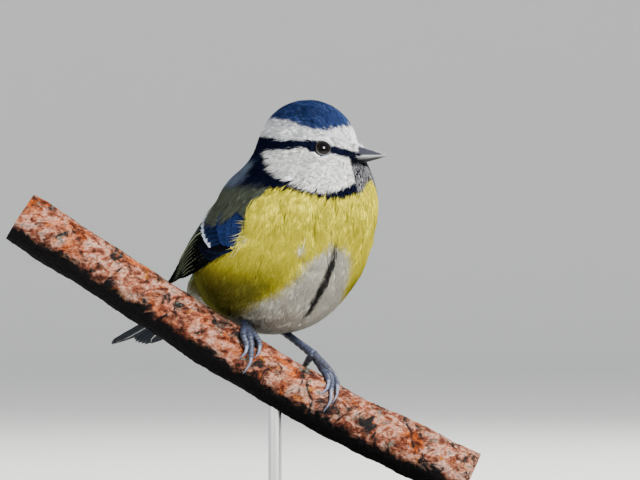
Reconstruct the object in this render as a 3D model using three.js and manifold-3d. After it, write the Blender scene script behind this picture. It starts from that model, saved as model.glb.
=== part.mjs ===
// A blue tit, life size and still, gripping a short cut length of branch that a plain stand holds.
// Millimetres, +Z up. +X is the viewer's right and +Y is away from the viewer. The origin is the
// middle of the base's underside. The bird is placed in a frame of its own: forward, right, up.
import * as THREE from "three";
import { mergeVertices } from "three/addons/utils/BufferGeometryUtils.js";
import Module from "manifold-3d";

const wasm = await Module();
wasm.setup();

const GAP = 0.3; // between nodes that meet
const FINEST = 0.012; // edges shorter than this are merged
const DEG = Math.PI / 180;

// Where the bird stands and which way it looks. Headings turn from towards the viewer to +X.
const TRUNK_CENTRE = [1.9, 4, 71.4];
const TRUNK_HEADING = 32;
const HEAD_CENTRE = [11.2, 0, 25]; // forward, right and up of the trunk's centre
const HEAD_HEADING = 72;

// The display stand and the perch.
const BASE_RADIUS = 42;
const BASE_THICKNESS = 6;
const BASE_CHAMFER = 0.8;
const ROD_RADIUS = 1.6;
const ROD_DEPTH_IN_PERCH = 3;
const ROD_DEPTH_IN_BASE = 3;
const PERCH_RADIUS = 6.3;
const PERCH_RINGS = 24;
const PERCH_SIDES = 22;
const PERCH_LINE = [
  [-60.7, 80.5],
  [-41.7, 68.3],
  [-17.9, 52.9],
  [1.2, 41.2],
  [16.7, 32.6],
  [29.7, 26.4],
  [46.4, 18.5],
];

// Rounded masses of the plumage. Each has its centre and half-sizes (forward, right, up) and a
// pitch in degrees, nose up. The body's are in the trunk's frame and the head's in the head's.
const BODY_MASSES = [
  { centre: [-1, 0, 0], half: [25, 19.5, 16], pitch: 15 },
  { centre: [6.5, 0, 11], half: [20, 18.8, 13], pitch: 0 },
  { centre: [-5, 0, -8], half: [18, 13.5, 10.5], pitch: 0 },
  { centre: [-22, 0, -5], half: [15, 9.5, 8.5], pitch: 20 },
  { centre: [-28, 0, -9.5], half: [13, 6, 4.5], pitch: 22 },
];
const HEAD_MASSES = [
  { centre: [0, 0, 0], half: [11.9, 11.2, 11.9], pitch: 0 },
  { centre: [5.9, 0, -6.5], half: [8.4, 8, 8.5], pitch: 0 },
  { centre: [2.5, 4.5, -4.5], half: [8, 7.5, 7], pitch: 0 },
  { centre: [2.5, -4.5, -4.5], half: [8, 7.5, 7], pitch: 0 },
];
const BODY_BLEND = 5;
const HEAD_BLEND = 3;
const NECK_BLEND = 7;

// The line inside the body that its rings are strung on, from the head's centre to the rump.
const SPINE = [
  [11.2, 25],
  [8.5, 13],
  [2, 2],
  [-11, -5],
  [-27, -10.8],
];
const HEAD_CUT = 0.16; // share of the spine's length where the head ends
const NECK_CUT = 0.235; // and where the neck ends
const SEGMENTS = 32;

const EYE = { forward: 7, up: 0.2, radius: 2.4, sunk: 1.7, lidRadius: 1.79, lid: 0.34 };

// The bill, from where it leaves the feathers (0) to its tip (1), in the head's frame.
const BILL = { base: 11.9, tip: 19.3, halfWidth: 1.85, tipHalfWidth: 0.28 };

const TAIL = { root: [-15, 0, -3.3], length: 50, slope: 20.6, swing: 8.7, pairs: 6 };
const VANE = 0.55; // a feather's thickness

function add(a, b, scale = 1) {
  return [a[0] + b[0] * scale, a[1] + b[1] * scale, a[2] + b[2] * scale];
}

function subtract(a, b) {
  return [a[0] - b[0], a[1] - b[1], a[2] - b[2]];
}

function dot(a, b) {
  return a[0] * b[0] + a[1] * b[1] + a[2] * b[2];
}

function cross(a, b) {
  return [a[1] * b[2] - a[2] * b[1], a[2] * b[0] - a[0] * b[2], a[0] * b[1] - a[1] * b[0]];
}

function unit(a) {
  const length = Math.hypot(...a);
  return [a[0] / length, a[1] / length, a[2] / length];
}

function mix(a, b, t) {
  return a + (b - a) * t;
}

// Smooth line through [x, value] pairs.
function profile(pairs) {
  return (x) => {
    if (x <= pairs[0][0]) return pairs[0][1];
    let i = 1;
    while (i < pairs.length - 1 && x > pairs[i][0]) i += 1;
    const [x0, y0] = pairs[i - 1];
    const [x1, y1] = pairs[i];
    if (x >= x1) return y1;
    const before = pairs[Math.max(i - 2, 0)];
    const after = pairs[Math.min(i + 1, pairs.length - 1)];
    const slope0 = ((y1 - before[1]) / (x1 - before[0])) * (x1 - x0);
    const slope1 = ((after[1] - y0) / (after[0] - x0)) * (x1 - x0);
    const t = (x - x0) / (x1 - x0);
    const t2 = t * t;
    const t3 = t2 * t;
    return (
      (2 * t3 - 3 * t2 + 1) * y0 +
      (t3 - 2 * t2 + t) * slope0 +
      (3 * t2 - 2 * t3) * y1 +
      (t3 - t2) * slope1
    );
  };
}

// A frame that turns a heading into forward, right and up.
function frameAt(origin, heading) {
  const forward = [Math.sin(heading * DEG), -Math.cos(heading * DEG), 0];
  const right = [-Math.cos(heading * DEG), -Math.sin(heading * DEG), 0];
  return {
    forward,
    right,
    place: (p) => add(add(add(origin, forward, p[0]), right, p[1]), [0, 0, 1], p[2]),
    local: (q) => {
      const d = subtract(q, origin);
      return [dot(d, forward), dot(d, right), d[2]];
    },
  };
}

const TRUNK = frameAt(TRUNK_CENTRE, TRUNK_HEADING);
const HEAD = frameAt(TRUNK.place(HEAD_CENTRE), HEAD_HEADING);

// Distance from an ellipsoid's surface, near enough for blending, negative inside.
function massDistance(mass, p) {
  const d = subtract(p, mass.centre);
  const c = Math.cos(mass.pitch * DEG);
  const s = Math.sin(mass.pitch * DEG);
  const q = [d[0] * c + d[2] * s, d[1], d[2] * c - d[0] * s];
  const k0 = Math.hypot(q[0] / mass.half[0], q[1] / mass.half[1], q[2] / mass.half[2]);
  const k1 = Math.hypot(
    q[0] / mass.half[0] ** 2,
    q[1] / mass.half[1] ** 2,
    q[2] / mass.half[2] ** 2,
  );
  return k1 < 1e-9 ? -Math.min(...mass.half) : (k0 * (k0 - 1)) / k1;
}

function smoothMin(a, b, blend) {
  const h = Math.max(blend - Math.abs(a - b), 0) / blend;
  return Math.min(a, b) - (h * h * blend) / 4;
}

// Distance from the outside of the plumage, negative inside, for a point of the room.
function plumage(p) {
  const b = TRUNK.local(p);
  const h = HEAD.local(p);
  const body = BODY_MASSES.map((m) => massDistance(m, b)).reduce((x, y) => smoothMin(x, y, BODY_BLEND));
  const head = HEAD_MASSES.map((m) => massDistance(m, h)).reduce((x, y) => smoothMin(x, y, HEAD_BLEND));
  return smoothMin(body, head, NECK_BLEND);
}

function outward(p) {
  const e = 0.05;
  const along = (x, y, z) => plumage(add(p, [x, y, z], e)) - plumage(add(p, [x, y, z], -e));
  return unit([along(1, 0, 0), along(0, 1, 0), along(0, 0, 1)]);
}

// Goes out from a point inside until it is the given height above the plumage.
function reach(from, direction, height) {
  let near = 0;
  let far = 60;
  for (let distance = 0; distance < far; distance += 1) {
    if (plumage(add(from, direction, distance)) < height) near = distance;
    else {
      far = distance;
      break;
    }
  }
  for (let i = 0; i < 22; i += 1) {
    const middle = (near + far) / 2;
    if (plumage(add(from, direction, middle)) < height) near = middle;
    else far = middle;
  }
  return add(from, direction, near);
}

// A closed surface from points and faces, turned to face out, as a solid.
function solidFrom(points, faces) {
  const geometry = new THREE.BufferGeometry();
  geometry.setAttribute("position", new THREE.Float32BufferAttribute(points.flat(), 3));
  geometry.setIndex(faces.flat());
  return solidOf(geometry);
}

function solidOf(geometry) {
  const bare = geometry.clone();
  bare.deleteAttribute("normal");
  bare.deleteAttribute("uv");
  const merged = mergeVertices(bare, 1e-4);
  const position = merged.attributes.position.array;
  const triangles = new Uint32Array(merged.index.array);
  let volume = 0;
  for (let i = 0; i < triangles.length; i += 3) {
    const corner = (k) => [...position.slice(triangles[i + k] * 3, triangles[i + k] * 3 + 3)];
    volume += dot(corner(0), cross(corner(1), corner(2)));
  }
  if (volume < 0) {
    for (let i = 0; i < triangles.length; i += 3) {
      [triangles[i + 1], triangles[i + 2]] = [triangles[i + 2], triangles[i + 1]];
    }
  }
  const mesh = new wasm.Mesh({ numProp: 3, vertProperties: position, triVerts: triangles });
  return new wasm.Manifold(mesh);
}

// Rings of equal count joined into a closed skin, with a flat or pointed end at each side.
function loft(rings, startPoint, endPoint) {
  const count = rings[0].length;
  const points = [...rings.flat(), startPoint, endPoint];
  const first = points.length - 2;
  const last = points.length - 1;
  const faces = [];
  for (let k = 0; k < count; k += 1) {
    const next = (k + 1) % count;
    faces.push([first, next, k]);
    const offset = (rings.length - 1) * count;
    faces.push([last, offset + k, offset + next]);
  }
  for (let i = 0; i + 1 < rings.length; i += 1) {
    for (let k = 0; k < count; k += 1) {
      const next = (k + 1) % count;
      const a = i * count + k;
      const b = i * count + next;
      faces.push([a, b, b + count], [a, b + count, a + count]);
    }
  }
  return solidFrom(points, faces);
}

function middleOf(ring) {
  return ring.reduce((sum, p) => add(sum, p, 1 / ring.length), [0, 0, 0]);
}

function largest(solid) {
  const pieces = solid.decompose();
  return pieces.reduce((a, b) => (b.volume() > a.volume() ? b : a));
}

function unite(solids) {
  return solids.reduce((a, b) => a.add(b));
}

const spineCurve = new THREE.CatmullRomCurve3(SPINE.map(([a, z]) => new THREE.Vector3(a, 0, z)));

function spineAt(share) {
  const p = spineCurve.getPointAt(share);
  const t = spineCurve.getTangentAt(share);
  const along = unit(add([0, 0, t.z], TRUNK.forward, t.x));
  const dorsal = unit(add([0, 0, -t.x], TRUNK.forward, t.z));
  return { centre: TRUNK.place([p.x, 0, p.z]), along, dorsal };
}

// One ring of the plumage: rays leave the spine at a tilt from its line.
function plumageRing(share, tilt, height) {
  const { centre, along, dorsal } = spineAt(share);
  return Array.from({ length: SEGMENTS }, (_, k) => {
    const angle = (2 * Math.PI * k) / SEGMENTS;
    const radial = add(add([0, 0, 0], TRUNK.right, Math.cos(angle)), dorsal, Math.sin(angle));
    const ray = add(add([0, 0, 0], radial, Math.sin(tilt * DEG)), along, Math.cos(tilt * DEG));
    return reach(centre, unit(ray), height);
  });
}

function ringsBetween(from, to, count, height) {
  return Array.from({ length: count + 1 }, (_, i) => plumageRing(mix(from, to, i / count), 90, height));
}

const SPINE_LENGTH = spineCurve.getLength();
const HALF_GAP = GAP / 2 / SPINE_LENGTH;

function crownCap(height) {
  return [165, 150, 135, 120, 105].map((tilt) => plumageRing(0, tilt, height));
}

function rumpCap(height) {
  return [72, 54, 36, 18].map((tilt) => plumageRing(1, tilt, height));
}

function headFlesh() {
  const rings = [...crownCap(0), ...ringsBetween(0, HEAD_CUT - HALF_GAP, 5, 0)];
  const { centre, along } = spineAt(0);
  return loft(rings, reach(centre, add([0, 0, 0], along, -1), 0), middleOf(rings.at(-1)));
}

function neckFlesh() {
  const rings = ringsBetween(HEAD_CUT + HALF_GAP, NECK_CUT - HALF_GAP, 2, 0);
  return loft(rings, middleOf(rings[0]), middleOf(rings.at(-1)));
}

function torsoFlesh() {
  const rings = [...ringsBetween(NECK_CUT + HALF_GAP, 1, 15, 0), ...rumpCap(0)];
  const { centre, along } = spineAt(1);
  return loft(rings, middleOf(rings[0]), reach(centre, along, 0));
}

// Head, neck and trunk in one, grown by a height, to cut what lies on them.
function wholeFlesh(height) {
  const rings = [...crownCap(height), ...ringsBetween(0, 1, 24, height), ...rumpCap(height)];
  const top = spineAt(0);
  const end = spineAt(1);
  const crown = reach(top.centre, add([0, 0, 0], top.along, -1), height);
  return loft(rings, crown, reach(end.centre, end.along, height));
}

function ball(centre, radius, detail) {
  const geometry = new THREE.IcosahedronGeometry(radius, detail);
  geometry.translate(...centre);
  return solidOf(geometry);
}

// The eye, its lids and its socket on one side of the head: 1 is the right, -1 the left.
function eyeParts(side) {
  const inside = HEAD.place([EYE.forward, 0, EYE.up]);
  const surface = reach(inside, add([0, 0, 0], HEAD.right, side), 0);
  const normal = outward(surface);
  const centre = add(surface, normal, -EYE.sunk);
  const lid = new THREE.TorusGeometry(EYE.lidRadius, EYE.lid, 5, 16);
  const turn = new THREE.Quaternion();
  turn.setFromUnitVectors(new THREE.Vector3(0, 0, 1), new THREE.Vector3(...normal));
  lid.applyQuaternion(turn);
  lid.translate(...surface);
  return {
    lid: solidOf(lid),
    ball: ball(centre, EYE.radius, 2),
    socket: ball(centre, EYE.radius + GAP, 2),
  };
}

const billCulmen = (s) => 0.95 - 2.25 * s ** 1.25;
const billGape = (s) => -2.2 + 0.75 * s;
const billKeel = (s) => mix(-3.35, -1.75, Math.max(s, 0) ** 1.5);
const billHalfWidth = (s) => mix(BILL.halfWidth, BILL.tipHalfWidth, Math.max(s, 0) ** 1.15);

// Half a bill: a row of arched sections, flat along the mouth. grow swells it, for its pocket.
function billHalf(upper, grow) {
  const stations = [-0.47, 0, 0.2, 0.4, 0.6, 0.8, 0.93, 1];
  const rings = stations.map((s) => {
    const forward = mix(BILL.base, BILL.tip, s);
    const mouth = billGape(Math.max(s, 0)) + (upper ? GAP / 2 : -GAP / 2);
    const ridge = upper ? billCulmen(Math.max(s, 0)) : billKeel(s);
    const rise = Math.max(Math.abs(ridge - mouth), 0.25) * Math.sign(upper ? 1 : -1);
    const half = billHalfWidth(s) * (upper ? 1 : 0.9) + grow;
    const arc = Array.from({ length: 9 }, (_, k) => {
      const angle = (Math.PI * k) / 8;
      const swell = Math.sign(rise) * grow * Math.sin(angle);
      return [forward, half * Math.cos(angle), mouth + rise * Math.sin(angle) ** 0.85 + swell];
    });
    const lip = arc[0][2] - Math.sign(rise) * grow;
    arc[0][2] = lip;
    arc[8][2] = lip;
    return arc.map((p) => HEAD.place(p));
  });
  const tip = add(middleOf(rings.at(-1)), HEAD.forward, 0.25);
  return loft(rings, add(middleOf(rings[0]), HEAD.forward, -grow), tip);
}

function nostril(side) {
  const geometry = new THREE.IcosahedronGeometry(1, 1);
  geometry.scale(0.5, 0.5, 0.24);
  geometry.rotateZ((HEAD_HEADING - 90) * DEG);
  geometry.translate(...HEAD.place([BILL.base + 1.1, side * 1.45, -0.1]));
  return solidOf(geometry);
}

// A feather: a thin plate along a line of stations. Each station gives the middle, the way
// across, the way out and the plate's half-width, half-thickness and tilt.
function vane(stations) {
  const corners = [
    [1, 1],
    [-1, 1],
    [-1, -1],
    [1, -1],
  ];
  const points = stations.flatMap((s) =>
    corners.map(([side, face]) =>
      add(add(s.middle, s.across, side * s.half), s.out, face * s.thick + side * s.tilt),
    ),
  );
  const faces = [
    [0, 1, 2],
    [0, 2, 3],
  ];
  for (let i = 0; i + 1 < stations.length; i += 1) {
    const a = i * 4;
    const b = a + 4;
    // The top and the bottom are split between the same two edges.
    faces.push([a, b, a + 1], [a + 1, b, b + 1]);
    faces.push([a + 3, a + 2, b + 3], [a + 2, b + 2, b + 3]);
    faces.push([a + 1, b + 1, a + 2], [b + 1, b + 2, a + 2]);
    faces.push([a, a + 3, b], [a + 3, b + 3, b]);
  }
  const e = (stations.length - 1) * 4;
  faces.push([e, e + 2, e + 1], [e, e + 3, e + 2]);
  return solidFrom(points, faces);
}

const featherOutline = profile([
  [0, 0.62],
  [0.25, 0.92],
  [0.6, 1],
  [0.85, 0.82],
  [0.95, 0.52],
  [1, 0.22],
]);

// The folded wing lies on a shell round the body. u runs back from the wrist in millimetres, v
// across from the outermost primary's edge (0) to the innermost tertial's (1).
const wingForward = (u) => 18 - 0.97 * u;
const wingHalfWidth = profile([
  [0, 11],
  [8, 17.8],
  [16, 20.8],
  [24, 20.6],
  [34, 17.5],
  [44, 13.2],
  [54, 9],
  [64, 5.6],
]);
const wingHalfHeight = profile([
  [0, 12],
  [12, 15.5],
  [24, 15.5],
  [36, 12],
  [50, 8],
  [64, 5],
]);
const wingMiddle = profile([
  [0, 5],
  [24, 0.5],
  [44, -3.5],
  [64, -7.5],
]);
const wingLowEdge = profile([
  [0, 4],
  [12, 0],
  [24, -3],
  [45, 3],
  [64, 12],
]);
const wingHighEdge = profile([
  [0, 24],
  [8, 38],
  [16, 54],
  [26, 64],
  [40, 62],
  [64, 42],
]);

function wingPoint(side, u, v, height) {
  const angle = mix(wingLowEdge(u), wingHighEdge(u), v) * DEG;
  const right = (wingHalfWidth(u) + height) * Math.cos(angle);
  const up = wingMiddle(u) + (wingHalfHeight(u) + height) * Math.sin(angle);
  return TRUNK.place([wingForward(u), side * right, up]);
}

function wingStation(side, u, v, height, half, thick, tilt) {
  const middle = wingPoint(side, u, v, height);
  const higher = wingPoint(side, u, v + 0.02, height);
  const further = wingPoint(side, u + 0.5, v, height);
  const along = unit(subtract(further, middle));
  const rough = unit(subtract(higher, middle));
  const out = unit(cross(rough, along)).map((x) => x * side);
  const across = unit(cross(along, out)).map((x) => -x * side);
  return { middle, across, out, half, thick, tilt };
}

// A tier of feathers whose tips make a line: each has its root, tip, place across and width.
function wingVane(side, { root, tip, place, half, low, high, tilt, steps = 5 }) {
  const stations = Array.from({ length: steps + 1 }, (_, i) => {
    const s = i / steps;
    const u = mix(root, tip, s);
    const height = mix(low, high, s ** 0.8);
    const thick = (VANE / 2) * (s > 0.99 ? 0.6 : 1);
    return wingStation(side, u, place, height, half * featherOutline(s), thick, -tilt * (1 - 0.4 * s));
  });
  return vane(stations);
}

const PRIMARY_TIPS = [53, 59, 63, 64, 62, 58.5, 54.5];
const SECONDARY_TIPS = [50.5, 49.8, 49.2, 48.3, 47.3];
const TERTIAL_TIPS = [44, 40, 35.5];

function wingFeathers(side) {
  const feathers = [];
  PRIMARY_TIPS.forEach((tip, i) => {
    const place = 0.02 + 0.055 * i;
    feathers.push({ root: 18, tip, place, half: 1.75, low: 0.25, high: 0.3, tilt: 0.22, steps: 4 });
  });
  SECONDARY_TIPS.forEach((tip, i) => {
    const place = 0.41 + 0.077 * i;
    feathers.push({ root: 18, tip, place, half: 1.95, low: 0.3, high: 0.5, tilt: 0.24, steps: 3 });
  });
  TERTIAL_TIPS.forEach((tip, i) => {
    const place = 0.79 + 0.085 * i;
    feathers.push({ root: 16, tip, place, half: 2.2, low: 0.4, high: 0.75 + 0.12 * i, tilt: 0.26, steps: 3 });
  });
  for (let i = 0; i < 7; i += 1) {
    const place = 0.08 + 0.135 * i;
    feathers.push({
      root: 10,
      tip: Math.min(16.2 + 20 * place, 26),
      place,
      half: 2.15,
      low: 0.5,
      high: 1.15,
      tilt: 0.24,
      steps: 3,
    });
  }
  for (let i = 0; i < 5; i += 1) {
    feathers.push({
      root: 6.5,
      tip: 14 + 0.8 * i,
      place: 0.12 + 0.17 * i,
      half: 2.4,
      low: 0.7,
      high: 1.5,
      tilt: 0.22,
      steps: 3,
    });
  }
  for (let i = 0; i < 2; i += 1) {
    feathers.push({
      root: 7 + i,
      tip: 13.5 + 2.5 * i,
      place: -0.02 + 0.04 * i,
      half: 1.4,
      low: 0.5,
      high: 1.0,
      tilt: 0.2,
      steps: 3,
    });
  }
  return feathers.map((f) => wingVane(side, f));
}

const wingPadHeight = profile([
  [4, 0.1],
  [7, 0.7],
  [11, 0.85],
  [18, 0.4],
  [27, 0.05],
]);

// The wing's arm and hand under the feathers: its inner side is cut to the body afterwards.
function wingPad(side) {
  const across = [-0.02, 0.23, 0.48, 0.74, 1];
  const stations = [4, 6.5, 10, 15, 21, 27];
  const rings = stations.map((u) => [
    ...across.map((v) => wingPoint(side, u, v, wingPadHeight(u))),
    ...across.toReversed().map((v) => wingPoint(side, u, v, -4)),
  ]);
  return loft(rings, middleOf(rings[0]), middleOf(rings.at(-1)));
}

function wing(side, bodyWithGap) {
  const whole = unite([wingPad(side), ...wingFeathers(side)]);
  return whole.subtract(bodyWithGap);
}

// The closed tail: six pairs of feathers fanned a little, the middle pair on top.
function tailFeather(side, pair) {
  const swing = TAIL.swing * DEG;
  const slope = TAIL.slope * DEG;
  const spread = side * (0.6 + 0.75 * pair) * DEG;
  const heading = swing + spread;
  const along = unit(
    add(
      add([0, 0, -Math.sin(slope)], TRUNK.forward, -Math.cos(slope) * Math.cos(heading)),
      TRUNK.right,
      Math.cos(slope) * Math.sin(heading),
    ),
  );
  const out = unit(cross(along, unit(cross([0, 0, 1], along))));
  const across = unit(cross(along, out));
  const root = TRUNK.place(add(TAIL.root, [0, side * (0.35 + 0.42 * pair), 0]));
  const length = TAIL.length - 2.4 * Math.exp(-pair) + (pair === 5 ? -1.5 : 0);
  const drop = -0.3 * pair;
  const stations = [0, 0.5, 0.94, 1].map((s) => {
    const middle = add(add(root, along, length * s), out, drop);
    const half = 2.15 * mix(0.55, 1, Math.min(s * 1.6, 1)) * (s > 0.99 ? 0.5 : 1);
    return { middle, across, out, half, thick: VANE / 2, tilt: 0 };
  });
  return vane(stations);
}

function tail(bodyWithGap) {
  const feathers = [];
  for (let pair = 0; pair < TAIL.pairs; pair += 1) {
    feathers.push(tailFeather(1, pair), tailFeather(-1, pair));
  }
  return unite(feathers).subtract(bodyWithGap);
}

// The perch: a cut branch with a few low swellings.
const perchCurve = new THREE.CatmullRomCurve3(PERCH_LINE.map(([x, z]) => new THREE.Vector3(x, 0, z)));

function perchRadius(share, angle) {
  const swellings = 0.12 * Math.sin(share * 31) + 0.1 * Math.sin(share * 17 + angle * 2);
  return PERCH_RADIUS + swellings + 0.08 * Math.sin(angle * 3 + share * 40);
}

function perchSolid(grow) {
  const rings = Array.from({ length: PERCH_RINGS + 1 }, (_, i) => {
    const share = i / PERCH_RINGS;
    const p = perchCurve.getPointAt(share);
    const t = perchCurve.getTangentAt(share);
    const up = unit([-t.z, 0, t.x]);
    return Array.from({ length: PERCH_SIDES }, (_unused, k) => {
      const angle = (2 * Math.PI * k) / PERCH_SIDES;
      const radius = perchRadius(share, angle) + grow;
      return add(add([p.x, 0, p.z], up, radius * Math.cos(angle)), [0, -1, 0], radius * Math.sin(angle));
    });
  });
  return loft(rings, middleOf(rings[0]), middleOf(rings.at(-1)));
}

// How high the middle of the perch is at x.
function perchHeight(x) {
  let share = 0.5;
  for (let step = 0.25; step > 1e-6; step /= 2) share += perchCurve.getPointAt(share).x < x ? step : -step;
  return perchCurve.getPointAt(share).z;
}

// A tube with its own radius at each point of a line.
function limb(line, sides) {
  const corners = line.map((p) => new THREE.Vector3(p[0], p[1], p[2]));
  const curve = new THREE.CatmullRomCurve3(corners, false, "centripetal");
  const count = Math.round((line.length - 1) * 1.4);
  const radii = profile(line.map((p, i) => [i / (line.length - 1), p[3]]));
  let across = [0, 0, 1];
  const rings = Array.from({ length: count + 1 }, (_, i) => {
    const share = i / count;
    const p = curve.getPoint(share).toArray();
    const t = curve.getTangent(share).toArray();
    across = unit(subtract(across, t.map((x) => x * dot(across, t))));
    const other = cross(t, across);
    return Array.from({ length: sides }, (_unused, k) => {
      const angle = (2 * Math.PI * k) / sides;
      const radius = radii(share);
      return add(add(p, across, radius * Math.cos(angle)), other, radius * Math.sin(angle));
    });
  });
  return loft(rings, line[0].slice(0, 3), line.at(-1).slice(0, 3));
}

// A point that lies on the perch's near side (front 1) or far side (-1), lifted off its bark.
function onBark(x, z, lift, front = 1) {
  let best = Infinity;
  for (let i = 0; i <= 400; i += 1) {
    const p = perchCurve.getPointAt(i / 400);
    best = Math.min(best, Math.hypot(p.x - x, p.z - z));
  }
  const reachOut = PERCH_RADIUS + 0.25 + lift;
  const depth = Math.sqrt(Math.max(reachOut ** 2 - best ** 2, 0));
  return [x, -front * depth, z];
}

// Toes: each is a line of [x, z, thickness radius], laid on the bark, from the foot's joint.
const FEET = {
  right: {
    heel: [-8.4, 7.5, 60.2],
    joint: [-6.9, -1.6, 54.3],
    toes: [
      [[-7.5, 52.6, 0.8], [-6.7, 50.2, 0.7], [-6.8, 48.7, 0.6], [-7.3, 47.9, 0.42], [-8.2, 46.9, 0.16]],
      [[-5.97, 51.9, 0.85], [-5.6, 50, 0.75], [-5.6, 47.8, 0.66], [-5.9, 45.7, 0.5], [-7.6, 43.2, 0.16]],
      [[-5.2, 52.8, 0.8], [-3.8, 50.7, 0.7], [-3.6, 49.3, 0.62], [-3.9, 48.1, 0.44], [-4.8, 46.9, 0.16]],
    ],
    hallux: [[-7.6, 54, 0.85], [-7.9, 52, 0.75], [-7.9, 49.8, 0.6], [-8.2, 47.6, 0.46], [-9, 45.4, 0.16]],
    halluxFront: -1,
  },
  left: {
    heel: [-0.7, 10.2, 55],
    joint: [9.15, -1.4, 47.8],
    toes: [
      [[11.4, 44, 0.85], [12.7, 41.7, 0.7], [12.5, 40, 0.62], [11.9, 39.2, 0.44], [10.6, 38.2, 0.16]],
      [[11.9, 43.9, 0.9], [13.4, 41.7, 0.75], [13.4, 39.3, 0.66], [13.1, 36.6, 0.5], [11.5, 34.2, 0.16]],
      [[12.9, 43.9, 0.85], [14.6, 41.2, 0.7], [14.8, 39.1, 0.62], [14.6, 37.9, 0.44], [13.6, 36.2, 0.16]],
    ],
    hallux: [[8.1, 46.6, 0.85], [7.1, 45, 0.7], [6.1, 44.1, 0.55], [5.1, 42.9, 0.42], [4.6, 41.6, 0.16]],
    halluxFront: -1,
  },
};
const TARSUS_RADIUS = 0.85;

function foot({ joint, toes, hallux, halluxFront }, grow) {
  const start = [...joint, 1.15 + grow];
  const lines = [...toes.map((line) => [line, 1]), [hallux, halluxFront]];
  const limbs = lines.map(([line, front]) => {
    const laid = line.map(([x, z, radius]) => [...onBark(x, z, radius, front), radius + grow]);
    return limb([start, ...laid], 7);
  });
  return unite([ball(joint, 1.2 + grow, 1), ...limbs]);
}

function leg({ heel, joint }, grow) {
  const along = unit(subtract(joint, heel));
  const end = add(joint, along, -1.2 - GAP);
  const middle = add(heel, subtract(end, heel), 0.5);
  const line = [
    [...heel, 1.1 + grow],
    [...middle, TARSUS_RADIUS + grow],
    [...end, 1 + grow],
  ];
  return limb(line, 10);
}

function stand() {
  const base = new THREE.LatheGeometry(
    [
      [0, 0],
      [BASE_RADIUS - BASE_CHAMFER, 0],
      [BASE_RADIUS, BASE_CHAMFER],
      [BASE_RADIUS, BASE_THICKNESS - BASE_CHAMFER],
      [BASE_RADIUS - BASE_CHAMFER, BASE_THICKNESS],
      [0, BASE_THICKNESS],
    ].map(([x, y]) => new THREE.Vector2(x, y)),
    64,
  );
  base.rotateX(Math.PI / 2);
  const bottom = BASE_THICKNESS - ROD_DEPTH_IN_BASE;
  const top = perchHeight(0) - PERCH_RADIUS + ROD_DEPTH_IN_PERCH;
  const cylinder = (radius, low, high) => {
    const geometry = new THREE.CylinderGeometry(radius, radius, high - low, 28);
    geometry.rotateX(Math.PI / 2);
    geometry.translate(0, 0, (low + high) / 2);
    return solidOf(geometry);
  };
  return {
    base: solidOf(base).subtract(cylinder(ROD_RADIUS + GAP, bottom, BASE_THICKNESS + 1)),
    rod: cylinder(ROD_RADIUS, bottom + GAP, top - GAP),
    hole: cylinder(ROD_RADIUS + GAP, bottom, top),
  };
}

const group = new THREE.Group();

function show(name, solid, colour, roughness, metalness = 0) {
  const { vertProperties, triVerts, numProp } = largest(solid.simplify(FINEST)).getMesh();
  const position = new Float32Array((vertProperties.length / numProp) * 3);
  for (let i = 0; i < position.length / 3; i += 1) {
    position.set(vertProperties.subarray(i * numProp, i * numProp + 3), i * 3);
  }
  const geometry = new THREE.BufferGeometry();
  geometry.setAttribute("position", new THREE.BufferAttribute(position, 3));
  geometry.setIndex(new THREE.BufferAttribute(triVerts, 1));
  geometry.computeVertexNormals();
  const material = new THREE.MeshStandardMaterial({ color: colour, roughness, metalness });
  const mesh = new THREE.Mesh(geometry, material);
  mesh.name = name;
  group.add(mesh);
}

const bodyWithGap = wholeFlesh(GAP);
const barkWithGap = perchSolid(GAP);
const eyes = { right: eyeParts(1), left: eyeParts(-1) };

const billPocket = billHalf(true, GAP).add(billHalf(false, GAP));
const head = unite([headFlesh(), eyes.right.lid, eyes.left.lid])
  .subtract(eyes.right.socket)
  .subtract(eyes.left.socket)
  .subtract(billPocket);
show("head", head, 0x9fb0cf, 0.8);
show("neck", neckFlesh(), 0x26336b, 0.8);
show("eye_right", eyes.right.ball, 0x0b0a0c, 0.05);
show("eye_left", eyes.left.ball, 0x0b0a0c, 0.05);
show("bill_upper", billHalf(true, 0).subtract(nostril(1)).subtract(nostril(-1)), 0x3b3f4a, 0.4);
show("bill_lower", billHalf(false, 0), 0x33363f, 0.4);

const legPockets = unite([leg(FEET.right, GAP), leg(FEET.left, GAP), foot(FEET.right, GAP)]);
show("torso", torsoFlesh().subtract(legPockets).subtract(barkWithGap), 0xc9c53a, 0.85);
show("wing_right", wing(1, bodyWithGap), 0x2f4c86, 0.7);
show("wing_left", wing(-1, bodyWithGap), 0x2f4c86, 0.7);
show("tail", tail(bodyWithGap), 0x3a5070, 0.7);
show("leg_right", leg(FEET.right, 0).subtract(foot(FEET.right, GAP)), 0x4b5668, 0.5);
show("leg_left", leg(FEET.left, 0).subtract(foot(FEET.left, GAP)), 0x4b5668, 0.5);
show("foot_right", foot(FEET.right, 0).subtract(barkWithGap), 0x5a6780, 0.5);
show("foot_left", foot(FEET.left, 0).subtract(barkWithGap), 0x5a6780, 0.5);

const { base, rod, hole } = stand();
show("perch", perchSolid(0).subtract(hole), 0xa2603f, 0.9);
show("stand_rod", rod, 0x8d9196, 0.35, 0.9);
show("stand_base", base, 0x2a2a2c, 0.5);

export default group;
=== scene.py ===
"""A blue tit on a cut branch, held by a plain stand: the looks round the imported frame.

Shapes are worked out in millimetres in the frame's axes and turned to metres as meshes are made.
"""

import math

import bpy
import numpy as np
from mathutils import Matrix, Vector, noise


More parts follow.
